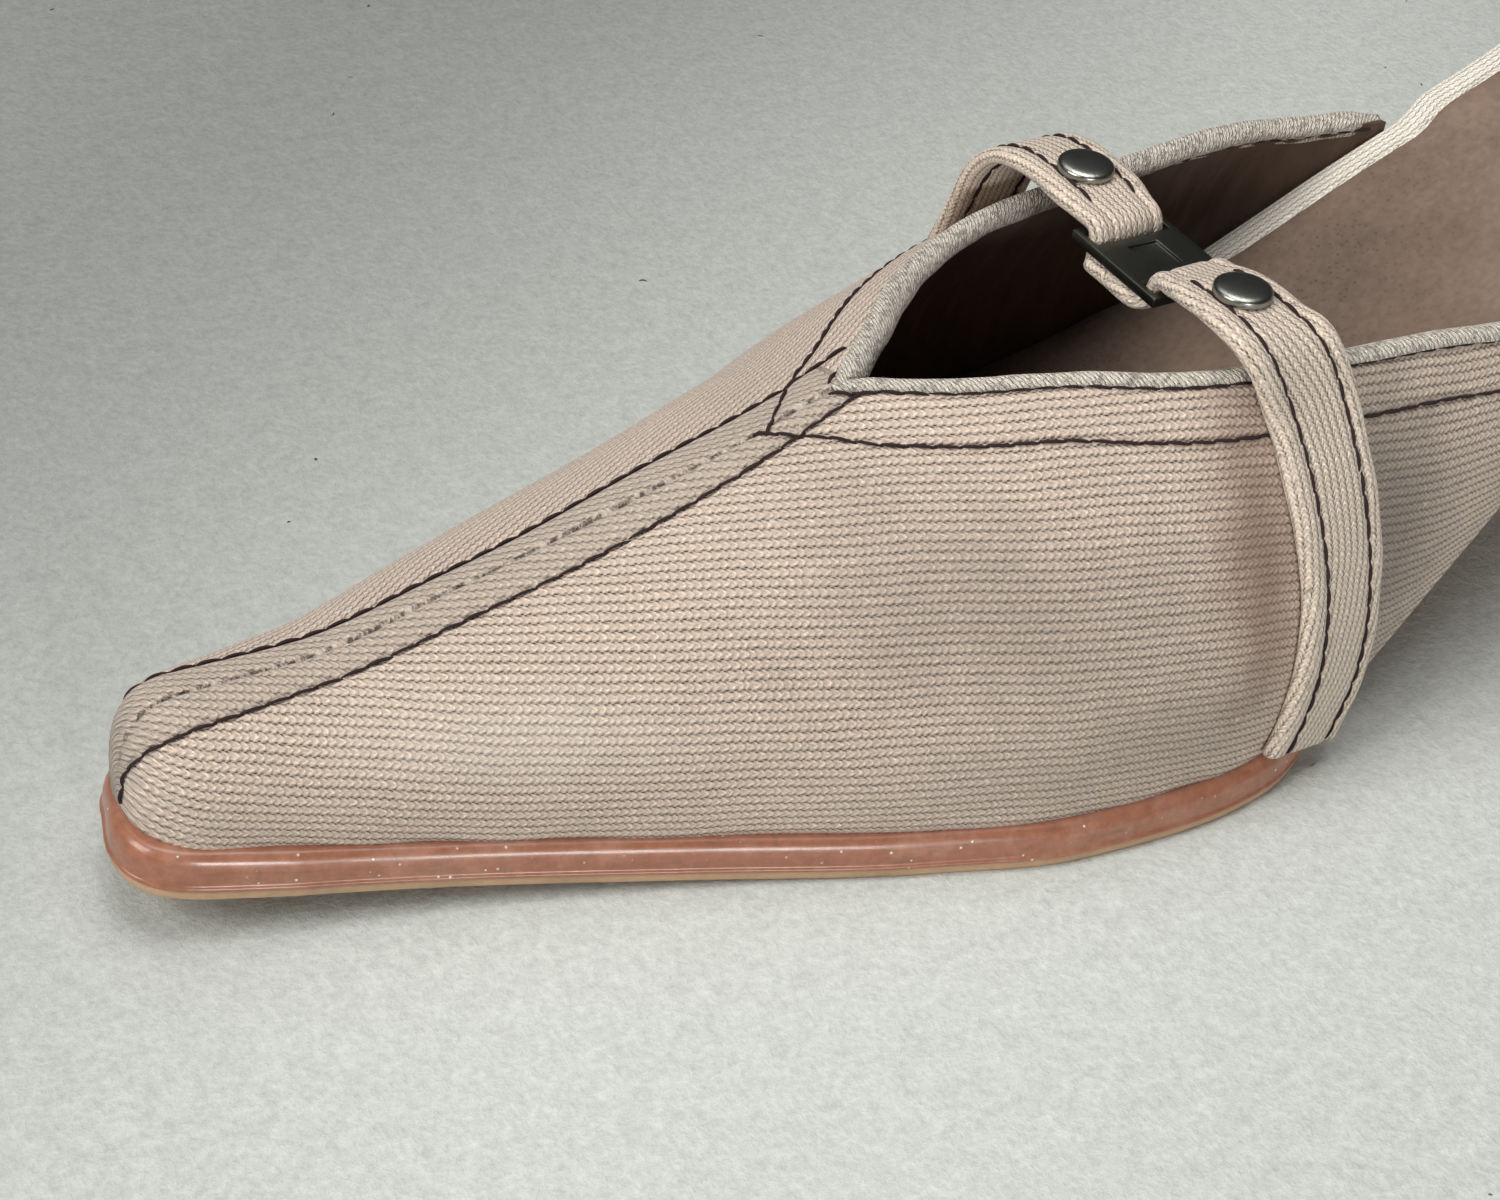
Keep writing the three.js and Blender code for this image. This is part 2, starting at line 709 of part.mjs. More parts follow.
// The slider plate: a rounded rectangle with two slots for the strap and a plain sunk panel
function plateGeometry() {
  const outline = new THREE.Shape();
  const halfW = plateWidth / 2;
  const halfL = plateLength / 2;
  outline.moveTo(-halfW + plateCorner, -halfL);
  outline.lineTo(halfW - plateCorner, -halfL);
  outline.quadraticCurveTo(halfW, -halfL, halfW, -halfL + plateCorner);
  outline.lineTo(halfW, halfL - plateCorner);
  outline.quadraticCurveTo(halfW, halfL, halfW - plateCorner, halfL);
  outline.lineTo(-halfW + plateCorner, halfL);
  outline.quadraticCurveTo(-halfW, halfL, -halfW, halfL - plateCorner);
  outline.lineTo(-halfW, -halfL + plateCorner);
  outline.quadraticCurveTo(-halfW, -halfL, -halfW + plateCorner, -halfL);
  const plain = new THREE.ExtrudeGeometry(outline, {
    depth: plateThick,
    bevelEnabled: false,
    curveSegments: 3,
  });
  plain.translate(0, 0, -plateThick);
  const slots = [-1, 1].map((side) => {
    const slot = new THREE.BoxGeometry(slotWidth, slotLength, plateThick * 3);
    slot.translate(0, side * (halfL - endBar - slotLength / 2), 0);
    return solidOf(slot);
  });
  const panel = solidOf(new THREE.BoxGeometry(panelWidth, panelLength, panelDepth * 2));
  const cuts = [...slots, panel];
  return geometryOf(cuts.reduce((plate, cut) => plate.subtract(cut), solidOf(plain)));
}

const finishes = {
  twill: { color: '#b9a78f', roughness: 0.9, metalness: 0 },
  rim: { color: '#cdbfab', roughness: 0.9, metalness: 0 },
  sockLeather: { color: '#8a7264', roughness: 0.7, metalness: 0 },
  soleLeather: { color: '#9a5a40', roughness: 0.35, metalness: 0 },
  treadLeather: { color: '#c39a72', roughness: 0.6, metalness: 0 },
  heelLeather: { color: '#8a523c', roughness: 0.4, metalness: 0 },
  rubber: { color: '#2b2420', roughness: 0.8, metalness: 0 },
  gunmetal: { color: '#5c5d58', roughness: 0.35, metalness: 1 },
};

function piece(name, geometry, finish, place = [0, 0, 0]) {
  const mesh = new THREE.Mesh(geometry, new THREE.MeshStandardMaterial(finish));
  mesh.name = name;
  mesh.position.set(...place);
  return mesh;
}

const heel = heelGeometry();
const lastFront = -toeLength + wall + gap;
const soleEnds = { front: -toeLength - tipLedge, back: rearLength - waistTuck, grow: soleGrow };
const outsole = soleLayer({
  ...soleEnds, low: 0, thick: outsoleThick, profile: cutEdge,
});
const sole = soleLayer({
  ...soleEnds, low: soleUnder, thick: soleThick, profile: roundedEdge,
});
const insole = soleLayer({
  front: lastFront,
  back: rearLength,
  grow: (x) => -insoleInset(x),
  low: upperSeat,
  thick: insoleThick,
  profile: wrappedEdge,
  extra: wallEnd,
});
const sock = soleLayer({
  front: lastFront + rimWidth,
  back: rearLength - rimWidth,
  grow: (x) => -insoleInset(x) - rimWidth,
  low: sockUnder,
  thick: sockThick,
  profile: cutEdge,
  extra: wallEnd,
});

const mule = new THREE.Group();
mule.add(
  piece('upper', upperGeometry(), finishes.twill),
  piece('outsole', outsole, finishes.treadLeather),
  piece('sole', sole, finishes.soleLeather),
  piece('insole', insole, finishes.rim),
  piece('sock', sock, finishes.sockLeather),
  piece('heel', heel.geometry, finishes.heelLeather),
  piece('top_piece', topPieceGeometry(heel.tipRing), finishes.rubber),
  piece('strap', piercedStrap(), finishes.twill),
  piece('slider_plate', plateGeometry(), finishes.gunmetal, [strapAt, plateShift, plateTop]),
  piece('rivet_near', rivetGeometry(), finishes.gunmetal, rivetPlaces[0]),
  piece('rivet_far', rivetGeometry(), finishes.gunmetal, rivetPlaces[1]),
);

export default mule;
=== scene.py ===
"""A pointed mule in ribbed twill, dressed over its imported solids.

Every shape is worked out in millimetres in the frame of the solids: +X from toe to heel, +Y to
the inner side of the foot, +Z up from the floor. Meshes are written in metres.
"""

import bmesh
import bpy
import numpy as np
from mathutils import Matrix, Vector


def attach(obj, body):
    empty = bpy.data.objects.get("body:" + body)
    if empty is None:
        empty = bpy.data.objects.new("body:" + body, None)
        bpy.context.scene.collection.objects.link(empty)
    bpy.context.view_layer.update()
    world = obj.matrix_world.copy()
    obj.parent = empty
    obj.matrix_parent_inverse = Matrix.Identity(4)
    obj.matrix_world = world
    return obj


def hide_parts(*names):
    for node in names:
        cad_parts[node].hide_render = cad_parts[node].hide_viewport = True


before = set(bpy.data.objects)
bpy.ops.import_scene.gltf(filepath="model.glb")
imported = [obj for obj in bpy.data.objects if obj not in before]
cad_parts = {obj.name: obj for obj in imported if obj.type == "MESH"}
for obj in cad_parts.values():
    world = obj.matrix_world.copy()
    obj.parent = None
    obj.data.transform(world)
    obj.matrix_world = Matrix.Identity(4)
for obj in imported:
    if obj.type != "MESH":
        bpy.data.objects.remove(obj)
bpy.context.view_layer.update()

bl_info = {
    "name": "Twill mule",
    "version": (1, 0, 0),
    "blender": (4, 5, 0),
    "location": "3D Viewport > Sidebar > Mule",
    "description": "Builds a ribbed twill mule with stitches, strap, plate, sole and heel",
    "category": "Add Mesh",
}

MM = 0.001
NEAR, FAR = -1, 1


# ---------------------------------------------------------------- properties


def length(name, description, millimetres):
    """A length property, stored in metres."""
    return bpy.props.FloatProperty(
        name=name,
        description=description,
        default=millimetres * MM,
        unit="LENGTH",
        precision=5,
    )


def share(name, description, default):
    """A property between nought and one."""
    return bpy.props.FloatProperty(
        name=name, description=description, default=default, min=0, max=1, subtype="FACTOR"
    )


def colour(name, description, default):
    """A colour property, in scene linear values."""
    return bpy.props.FloatVectorProperty(
        name=name, description=description, default=default, size=3, min=0, max=1, subtype="COLOR"
    )


class LastSizes(bpy.types.PropertyGroup):
    """Sizes of the last, the form that upper and sole are built round"""

    toe_length: length("Toe length", "From the tread to the tip", 109.6)
    rear_length: length("Rear length", "From the tread to the back of the seat", 148)
    ball_width: length("Ball width", "Widest width of the last", 74.8)
    seat_width: length("Seat width", "Width of the last at the heel seat", 47)
    heel_swing: length("Heel swing", "How far the heel stands to the inner side", 3.2)
    nose_radius: length("Nose radius", "Length over which the tip rounds off", 7.5)
    seat_radius: length("Seat radius", "Length over which the seat rounds off", 22)
    toe_spring: length("Toe spring", "Lift of the sole at the tip", 5.8)
    tread_fore: length("Tread in front", "Flat tread in front of the ball line", 35)
    tread_rear: length("Tread behind", "Flat tread behind the ball line", 8)
    heel_rise: length("Heel rise", "Rise of the sole to the seat", 75.5)
    throat_height: length("Throat height", "Height of the throat above the floor", 42.6)
    vamp_length: length("Vamp length", "From the tip to the throat", 79.3)
    upper_end: length("Upper's end", "Where the side walls run out", 67)
    wall: length("Wall", "Thickness of the upper with its lining", 1.8)
    sole_under: length("Sole height", "Height of the sole over the floor side", 0.9)
    sole_thick: length("Sole thickness", "Thickness of the sole's edge", 4.1)
    insole_thick: length("Footbed thickness", "Height of the wrapped footbed", 2.9)
    sock_thick: length("Sock thickness", "Thickness of the lining leather", 0.8)
    ledge: length("Ledge", "How far the sole stands out round the forepart", 2.1)
    tip_ledge: length("Tip ledge", "How far it stands out at the tip", 1)
    rim_width: length("Rim width", "Width of the wrapped rim beside the sock", 3.3)


class ClothSizes(bpy.types.PropertyGroup):
    """Sizes of the twill and of its sewing"""

    rib_pitch: length("Rib pitch", "Distance between two ribs of the twill", 1.08)
    strand_pitch: length("Strand pitch", "Distance between two slanting strands of a rib", 0.78)
    rib_height: length("Rib height", "Height of a rib over the valley beside it", 0.22)
    bead_width: length("Bead width", "Width of the bound edge below the topline", 0.75)
    bead_height: length("Bead height", "How far the bound edge stands out", 0.62)
    inner_row: length("Inner row", "Stitch row below the topline", 0.62)
    outer_row: length("Outer row", "Second stitch row below the topline", 6.4)
    stitch_length: length("Stitch length", "Length of one stitch", 2.65)
    thread: length("Thread", "Thickness of the sewing thread", 0.46)


class StrapSizes(bpy.types.PropertyGroup):
    """Sizes of the strap, its plate and its rivets"""

    at: length("Strap place", "Distance of the strap behind the ball line", 8.8)
    width: length("Strap width", "Width of the twill strap", 11.6)
    thick: length("Strap thickness", "Thickness of the folded strap", 1.9)
    slot_width: length("Slot width", "Width of the plate's slots", 10)
    leg_sweep: length("Leg sweep", "Backward sweep of the near leg", 5.6)
    plate_lift: length("Plate lift", "Height of the plate over the topline", 3.2)
    plate_shift: length("Plate shift", "Sideways place of the plate", -1.2)
    plate_length: length("Plate length", "Across the foot", 15)
    plate_width: length("Plate width", "Along the foot", 11.6)
    plate_thick: length("Plate thickness", "Thickness of the metal", 1.2)
    slot_length: length("Slot length", "Opening of a slot", 2.5)
    end_bar: length("End bar", "Bar beyond a slot", 1.1)
    panel_length: length("Panel length", "Sunk panel across the foot", 4.6)
    panel_width: length("Panel width", "Sunk panel along the foot", 4)
    rivet_spacing: length("Rivet spacing", "Between the two rivets", 28.4)
    cap_width: length("Cap width", "Width of a rivet's cap", 6.5)
    cap_height: length("Cap height", "Height of a rivet's cap", 1.3)


class Colours(bpy.types.PropertyGroup):
    """Colours of the finishes"""

    twill: colour("Twill", "Ribs of the twill", (0.60, 0.485, 0.40))
    # Painted shade: the dark colour put between the ribs and in the holes of the twill, where shade falls. On
    # the strap a darker copy also colours the dark flecks of the folded edges.
    shaded_valley: colour("Valley", "Between the ribs", (0.20, 0.145, 0.10))
    # Used only as the painted shade between the ribs of the footbed's rim.
    bead: colour("Bead", "Bound edge and strap", (0.62, 0.52, 0.42))
    rim: colour("Rim", "Wrapped rim of the footbed", (0.66, 0.59, 0.49))
    thread: colour("Thread", "Sewing thread", (0.030, 0.016, 0.017))
    lining: colour("Lining", "Suede lining", (0.075, 0.044, 0.027))
    sock: colour("Sock", "Lining leather of the footbed", (0.215, 0.15, 0.112))
    edge: colour("Edge", "Painted edge of the sole", (0.36, 0.145, 0.085))
    tread: colour("Tread", "Thin floor side of the sole", (0.56, 0.36, 0.22))
    rubber: colour("Rubber", "Wearing tip", (0.030, 0.022, 0.018))
    metal: colour("Metal", "Plate", (0.12, 0.122, 0.105))
    cap: colour("Cap", "Rivets", (0.105, 0.11, 0.098))
    paper: colour("Paper", "Floor", (0.60, 0.63, 0.60))


# ---------------------------------------------------------------- the last


FORE_OUTLINE = (  # at, half, swing
    (0, 0.2, 0),
    (0.14, 0.302, 0.06),
    (0.29, 0.428, 0.16),
    (0.49, 0.614, 0.06),
    (0.7, 0.83, -0.08),
    (0.85, 0.965, -0.04),
    (1, 1, 0),
)
REAR_OUTLINE = (  # at, half, swing, seat
    (0.068, 0.974, 0.06, 0),
    (0.135, 0.924, 0.12, 0),
    (0.236, 0.833, 0.24, 0),
    (0.37, 0.883, 0.36, 0.5),
    (0.574, 0.905, 0.55, 1),
    (0.743, 0.93, 0.76, 1),
    (0.865, 0.985, 0.93, 1),
    (1, 0.98, 1, 1),
)
ARCH_RISE = (  # at, rise
    (0.1, 0.011),
    (0.15, 0.045),
    (0.2, 0.092),
    (0.27, 0.182),
    (0.34, 0.279),
    (0.47, 0.462),
    (0.61, 0.628),
    (0.74, 0.778),
    (0.87, 0.905),
    (1, 0.985),
)
VAMP_CREST = ((0, 0.537), (0.25, 0.546), (0.45, 0.635), (0.65, 0.752), (0.85, 0.884), (1, 1))
INSTEP_CREST = ((0, 1.31), (0.2, 1.555), (0.4, 1.88), (0.67, 2.15))
TOPLINE = (  # at, near, far
    (0, 1, 1),
    (0.082, 1.03, 1.02),
    (0.225, 1.075, 1.015),
    (0.41, 1.08, 1.008),
    (0.63, 1.085, 1.026),
    (0.775, 1.068, 1.005),
    (0.877, 1.03, 0.97),
)
THROAT_SHOULDER = 2.19
WEAVE = (  # x, how far the ribs have slipped down the skin
    (-110, 0),
    (-88, 1.98),
    (-80, 2.6),
    (-72, 2.82),
    (-60, 2.65),
    (-48, 2.2),
    (-38, 2.0),
    (-28, 2.05),
    (-20, 2.35),
    (-10, 3.15),
    (0, 4.45),
    (5, 5.35),
    (10, 6.6),
    (15, 8.4),
    (20, 10.8),
    (28, 15.8),
    (35, 20.9),
    (45, 28.5),
    (67, 46),
)


def lerp(a, b, t):
    """The value a share t of the way from a to b."""
    return a + (b - a) * t


def ease(x, low, high):
    """0 below low, 1 above high, and a smooth S between."""
    t = np.clip((x - low) / (high - low), 0, 1)
    return t * t * (3 - 2 * t)


def unit(v):
    """Vectors of length one, along the last axis."""
    return v / np.maximum(np.linalg.norm(v, axis=-1, keepdims=True), 1e-9)


def bump_of(distance, width):
    """A soft bell: one at nought, fading over the width."""
    return np.exp(-((distance / width) ** 2))


def curve(xs, ys):
    """A cubic through the points whose slopes are harmonic means, so that it never overshoots."""
    xs, ys = np.array(xs, float), np.array(ys, float)
    steps = np.diff(ys) / np.diff(xs)
    before, after = np.r_[steps[0], steps], np.r_[steps, steps[-1]]
    total = np.where(before + after == 0, 1, before + after)
    slopes = np.where(before * after > 0, 2 * before * after / total, 0)

    def at(x):
        x = np.asarray(x, float)
        k = np.clip(np.searchsorted(xs, x, side="right") - 1, 0, len(xs) - 2)
        width = xs[k + 1] - xs[k]
        t = np.clip((x - xs[k]) / width, 0, 1)
        rise = (3 - 2 * t) * t * t
        lead = t * (1 - t) ** 2 * width * slopes[k]
        trail = t * t * (t - 1) * width * slopes[k + 1]
        return ys[k] * (1 - rise) + ys[k + 1] * rise + lead + trail

    return at


def rounding(distance, radius, power):
    """Share of the full size left by a superellipse end at a distance from its tip."""
    left = 1 - np.clip(distance / radius, 0, 1)
    return (1 - left**power) ** (1 / power)


class Last:
    """The form of the foot: outline, underside, crest and topline as functions of x."""

    def __init__(self, sizes):
        for name in sizes.__annotations__:
            setattr(self, name, getattr(sizes, name) / MM)
        fore = [at * self.toe_length - self.toe_length for at, *_ in FORE_OUTLINE]
        rear = [at * self.rear_length for at, *_ in REAR_OUTLINE]
        halves = [half * self.ball_width / 2 for _, half, _ in FORE_OUTLINE]
        halves += [
            half * lerp(self.ball_width, self.seat_width, seat) / 2
            for _, half, _, seat in REAR_OUTLINE
        ]
        swings = [row[2] * self.heel_swing for row in (*FORE_OUTLINE, *REAR_OUTLINE)]
        self.plain_half = curve(fore + rear, halves)
        self.centre = curve(fore + rear, swings)
        crest_at = [at * self.vamp_length - self.toe_length for at, _ in VAMP_CREST]
        crest_at += [at * self.rear_length for at, _ in INSTEP_CREST]
        crests = [h * self.throat_height for _, h in (*VAMP_CREST, *INSTEP_CREST)]
        self.plain_crest = curve(crest_at, crests)
        self.arch = curve(
            [self.tread_rear] + [at * self.rear_length for at, _ in ARCH_RISE],
            [0] + [rise * self.heel_rise for _, rise in ARCH_RISE],
        )
        self.seat = self.sole_under + self.sole_thick
        self.throat = self.vamp_length - self.toe_length
        open_length = self.upper_end - self.throat
        places = [self.throat + at * open_length for at, *_ in TOPLINE] + [self.upper_end]
        end = float(self.base(self.upper_end)) + self.insole_thick
        self.toplines = {
            side: curve(places, [row[column] * self.throat_height for row in TOPLINE] + [end])
            for side, column in ((NEAR, 1), (FAR, 2))
        }

    def half(self, x, grow=0.0, nose=2.5):
        """Half width: the outline let out by grow, rounded off at tip and seat."""
        toe = rounding(x + self.toe_length + grow, self.nose_radius + grow, nose)
        back = rounding(self.rear_length + grow - x, self.seat_radius + grow, 2)
        return (self.plain_half(x) + grow) * toe * back

    def underside(self, x):
        """Height of the floor side: a power curve at the toe, flat tread, rising arch."""
        x = np.asarray(x, float)
        front = np.clip(-self.tread_fore - x, 0, None)
        spring = (front / (self.toe_length + self.tip_ledge - self.tread_fore)) ** 1.6
        return np.where(x > self.tread_rear, self.arch(x), self.toe_spring * spring)

    def base(self, x):
        """Height of the feather line, where the upper meets the sole."""
        return self.underside(x) + self.seat

    def sole_grow(self, x):
        """How far the sole stands out: a ledge round the forepart, tucked in behind."""
        front = ease(x, -self.toe_length, -self.toe_length + 2 * self.nose_radius)
        waist = ease(x, 14.6, 32)
        return lerp(lerp(self.tip_ledge, self.ledge, front), -0.4, waist)

    def crest(self, x, inset=0.0):
        """Height of the crest, rounded off over the nose and let in by inset."""
        foot = self.base(x)
        nose = rounding(x + self.toe_length - inset, self.nose_radius - inset, 2.8)
        return foot + (self.plain_crest(x) - foot - inset) * nose

    def skin(self, x, r, side, inset=0.0):
        """A superellipse section: y falls from the half width at r = 0 to the crest at r = 1."""
        foot = self.base(x)
        half = self.half(x, -inset)
        back = np.clip((x + self.toe_length) / self.vamp_length, 0, 1)
        shoulder, crown = lerp(2.9, THROAT_SHOULDER, back), lerp(2.5, 1.31, back)
        swell = 1.05 * 4 * r * (1 - r) ** 2 * np.minimum(half / (self.ball_width / 4), 1)
        reach = (half + swell) * np.maximum(1 - r**shoulder, 0) ** (1 / crown)
        y = self.centre(x) - 1.5 * back * r + side * reach
        z = lerp(foot, self.crest(x, inset), r)
        return np.stack(np.broadcast_arrays(x, y, z), -1)

    def top_share(self, x, side, inset=0.0):
        """Share of the crest's height where the skin ends: one up to the throat, then the topline,
        a little lower for a skin that is let in."""
        foot = self.base(x)
        rise = self.crest(x) - foot
        open_share = (self.toplines[side](x) - foot + inset * 0.25) / rise
        return np.where(x <= self.throat, 1.0, np.clip(open_share, 0, 1))


def last():
    """The last at its present sizes."""
    return Last(bpy.context.scene.mule_last)


def millimetres(group):
    """The sizes of a property group in millimetres, by name."""
    return {name: getattr(group, name) / MM for name in group.__annotations__}


# ---------------------------------------------------------------- surfaces


class Skin:
    """One side of the upper as a grid: rows are stations along the foot, columns run from the
    feather line up to the crest or topline, closest together near the top."""

    def __init__(self, form, side, inset, stations, edge_columns, low_columns):
        samples = 150
        end = np.arcsin(form.top_share(stations, side, inset) ** (THROAT_SHOULDER / 2))
        steps = np.sin(end[:, None] * np.linspace(0, 1, samples)) ** (2 / THROAT_SHOULDER)
        rows = form.skin(stations[:, None], np.minimum(steps, 1), side, inset)
        run = np.cumsum(np.linalg.norm(np.diff(rows, axis=1), axis=-1), axis=1)
        run = np.concatenate([np.zeros((len(rows), 1)), run], axis=1)
        total = run[:, -1:]
        down = edge_columns[::-1] * np.minimum(1, total / (2.2 * edge_columns[-1]))
        low = np.linspace(0, 1, low_columns, endpoint=False) * (total - down[:, :1])
        self.along = np.concatenate([low, total - down], axis=1)
        self.points = np.empty(self.along.shape + (3,))
        for row, (stops, lengths) in enumerate(zip(self.along, run)):
            for axis in range(3):
                self.points[row, :, axis] = np.interp(stops, lengths, rows[row, :, axis])
        self.side, self.stations, self.total = side, stations, total
        self.closed = stations <= form.throat
        forward = np.gradient(self.points, axis=0)
        upward = np.gradient(self.points, axis=1)
        normals = unit(np.cross(forward, upward)) * -side
        normals[self.closed, -1, 1] = 0
        self.normals = unit(normals)

    def raise_by(self, heights):
        """Moves each point out along its normal."""
        self.points = self.points + self.normals * heights[..., None]


def join(near, far):
    """Brings two skins together along the closed crest and at the tip."""
    crest = (near.points[near.closed, -1] + far.points[near.closed, -1]) / 2
    tip = near.stations <= near.stations[0]
    front = (near.points[tip] + far.points[tip]) / 2
    for skin in (near, far):
        skin.points[skin.closed, -1] = crest
        skin.points[tip] = front


def nearest(points, line):
    """Distance of each point of a grid to the nearest point of a line."""
    flat = points.reshape(-1, 3)
    found = np.full(len(flat), np.inf)
    for chunk in np.array_split(line, max(1, len(line) // 40)):
        gaps = np.linalg.norm(flat[:, None] - chunk[None], axis=-1).min(1)
        found = np.minimum(found, gaps)
    return found.reshape(points.shape[:-1])


def even(path, step):
    """A path walked again in even steps: points and lengths."""
    run = np.r_[0, np.cumsum(np.linalg.norm(np.diff(path, axis=0), axis=1))]
    count = max(2, int(round(run[-1] / step)) + 1)
    stops = np.linspace(0, run[-1], count)
    return np.stack([np.interp(stops, run, path[:, i]) for i in range(path.shape[1])], -1), stops


def smooth_path(path, rounds):
    """A path relaxed by averaging each inner point with its neighbours."""
    path = path.copy()
    for _ in range(rounds):
        path[1:-1] = path[1:-1] * 0.5 + (path[2:] + path[:-2]) * 0.25
    return path


def sweep(path, across, up, profile):
    """A profile carried along a path: each ring is path + across * w + up * t."""
    w, t = profile[..., 0], profile[..., 1]
    if w.ndim == 1:
        w, t = w[None], t[None]
    return path[:, None] + across[:, None] * w[..., None] + up[:, None] * t[..., None]


class Gather:
    """Grids gathered into one mesh, with two UV maps in millimetres: cloth runs with the ribs,
    marks holds distances that the material reads."""

    def __init__(self):
        self.points, self.faces, self.cloth, self.marks, self.slots = [], [], [], [], []
        self.count = 0

    def add(self, grid, cloth=None, marks=None, slot=0, around=False, flip=False):
        """Adds a grid of points as quads, closed around its columns where asked."""
        rows, columns = grid.shape[:2]
        index = np.arange(rows * columns).reshape(rows, columns) + self.count
        if around:
            index = np.concatenate([index, index[:, :1]], axis=1)
        quads = np.stack([index[:-1, :-1], index[1:, :-1], index[1:, 1:], index[:-1, 1:]], -1)
        quads = quads.reshape(-1, 4)
        if flip:
            quads = quads[:, ::-1]
        blank = np.zeros((rows, columns, 2))
        cloth = blank if cloth is None else cloth
        marks = blank if marks is None else marks
        corner = quads - self.count
        cloth_corner = cloth.reshape(-1, 2)[corner]
        if around:
            period = cloth[:, -1, 1].mean() * columns / (columns - 1) if columns > 1 else 0
            turn = (corner % columns == 0) & ((corner % columns).max(1, keepdims=True) > 1)
            cloth_corner[..., 1] = np.where(turn, cloth_corner[..., 1] + period, cloth_corner[..., 1])
        self.points.append(grid.reshape(-1, 3))
        self.faces.append(quads)
        self.cloth.append(cloth_corner)
        self.marks.append(marks.reshape(-1, 2)[corner])
        self.slots.append(np.full(len(quads), slot))
        self.count += rows * columns

    def close(self, ring, slot=0, flip=False):
        """Closes an opening with a fan from the middle of its ring."""
        middle = ring.mean(0, keepdims=True)
        grid = np.stack([ring, np.repeat(middle, len(ring), axis=0)])
        self.add(grid, slot=slot, around=True, flip=flip)

    def build(self, name, materials, nodes=(), weld=0.004, stage=False):
        """Writes the mesh, welds shared corners and lets it ride on the body or stand on stage."""
        points = np.concatenate(self.points) * MM
        faces = np.concatenate(self.faces)
        mesh = bpy.data.meshes.new(name)
        mesh.vertices.add(len(points))
        mesh.vertices.foreach_set("co", points.astype(np.float32).ravel())
        mesh.loops.add(faces.size)
        mesh.loops.foreach_set("vertex_index", faces.astype(np.int32).ravel())
        mesh.polygons.add(len(faces))
        mesh.polygons.foreach_set("loop_start", (np.arange(len(faces)) * 4).astype(np.int32))
        for layer, values in (("cloth", self.cloth), ("marks", self.marks)):
            uv = mesh.uv_layers.new(name=layer)
            uv.data.foreach_set("uv", np.concatenate(values).astype(np.float32).ravel())
        for material in materials:
            mesh.materials.append(material)
        mesh.polygons.foreach_set("material_index", np.concatenate(self.slots).astype(np.int32))
        mesh.update(calc_edges=True)
        shape = bmesh.new()
        shape.from_mesh(mesh)
        bmesh.ops.remove_doubles(shape, verts=shape.verts, dist=weld * MM)
        bmesh.ops.dissolve_degenerate(shape, edges=shape.edges, dist=weld * MM / 4)
        if not stage and shape.calc_volume(signed=True) < 0:
            bmesh.ops.reverse_faces(shape, faces=shape.faces)
        shape.to_mesh(mesh)
        shape.free()
        mesh.validate()
        mesh.polygons.foreach_set("use_smooth", np.ones(len(mesh.polygons), bool))
        piece = bpy.data.objects.new(name, mesh)
        bpy.context.scene.collection.objects.link(piece)
        if stage:
            return piece
        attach(piece, "root")
        if nodes:
            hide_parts(*nodes)
        return piece


def pairs(u, v):
    """Two grids of numbers as one grid of pairs."""
    return np.stack(np.broadcast_arrays(u, v), -1)


# ---------------------------------------------------------------- shaders


class Value:
    """A shader socket or a number, with arithmetic that adds Math nodes."""

    def __init__(self, shader, socket):
        self.shader, self.socket = shader, socket

    def _math(self, operation, *inputs, clamp=False):
        settings = {"operation": operation, "use_clamp": clamp}
        node = self.shader.node("ShaderNodeMath", settings, dict(enumerate(inputs)))
        return Value(self.shader, node.outputs[0])

    def __add__(self, other):
        return self._math("ADD", self, other)

    __radd__ = __add__

    def __sub__(self, other):
        return self._math("SUBTRACT", self, other)

    def __rsub__(self, other):
        return self._math("SUBTRACT", other, self)

    def __mul__(self, other):
        return self._math("MULTIPLY", self, other)

    __rmul__ = __mul__

    def __truediv__(self, other):
        return self._math("DIVIDE", self, other)

    def __pow__(self, other):
        return self._math("POWER", self, other)

    def wave(self):
        """0 to 1 and back once for each whole number."""
        return self._math("MULTIPLY_ADD", self._math("COSINE", self * 6.2831853), 0.5, 0.5)

    def part(self):
        return self._math("FRACT", self)

    def whole(self):
        return self._math("FLOOR", self)

    def size(self):
        return self._math("ABSOLUTE", self)

    def between(self, low, high):
        """0 at low and 1 at high, with a smooth S between."""
        settings = {"interpolation_type": "SMOOTHSTEP"}
        node = self.shader.node("ShaderNodeMapRange", settings, {0: self, 1: low, 2: high})
        return Value(self.shader, node.outputs[0])

    def bell(self, middle, width):
        """One at the middle, nought beyond the width on each side."""
        return 1 - (self - middle).size().between(0, width)

    def clamped(self):
        return self._math("ADD", self, 0.0, clamp=True)


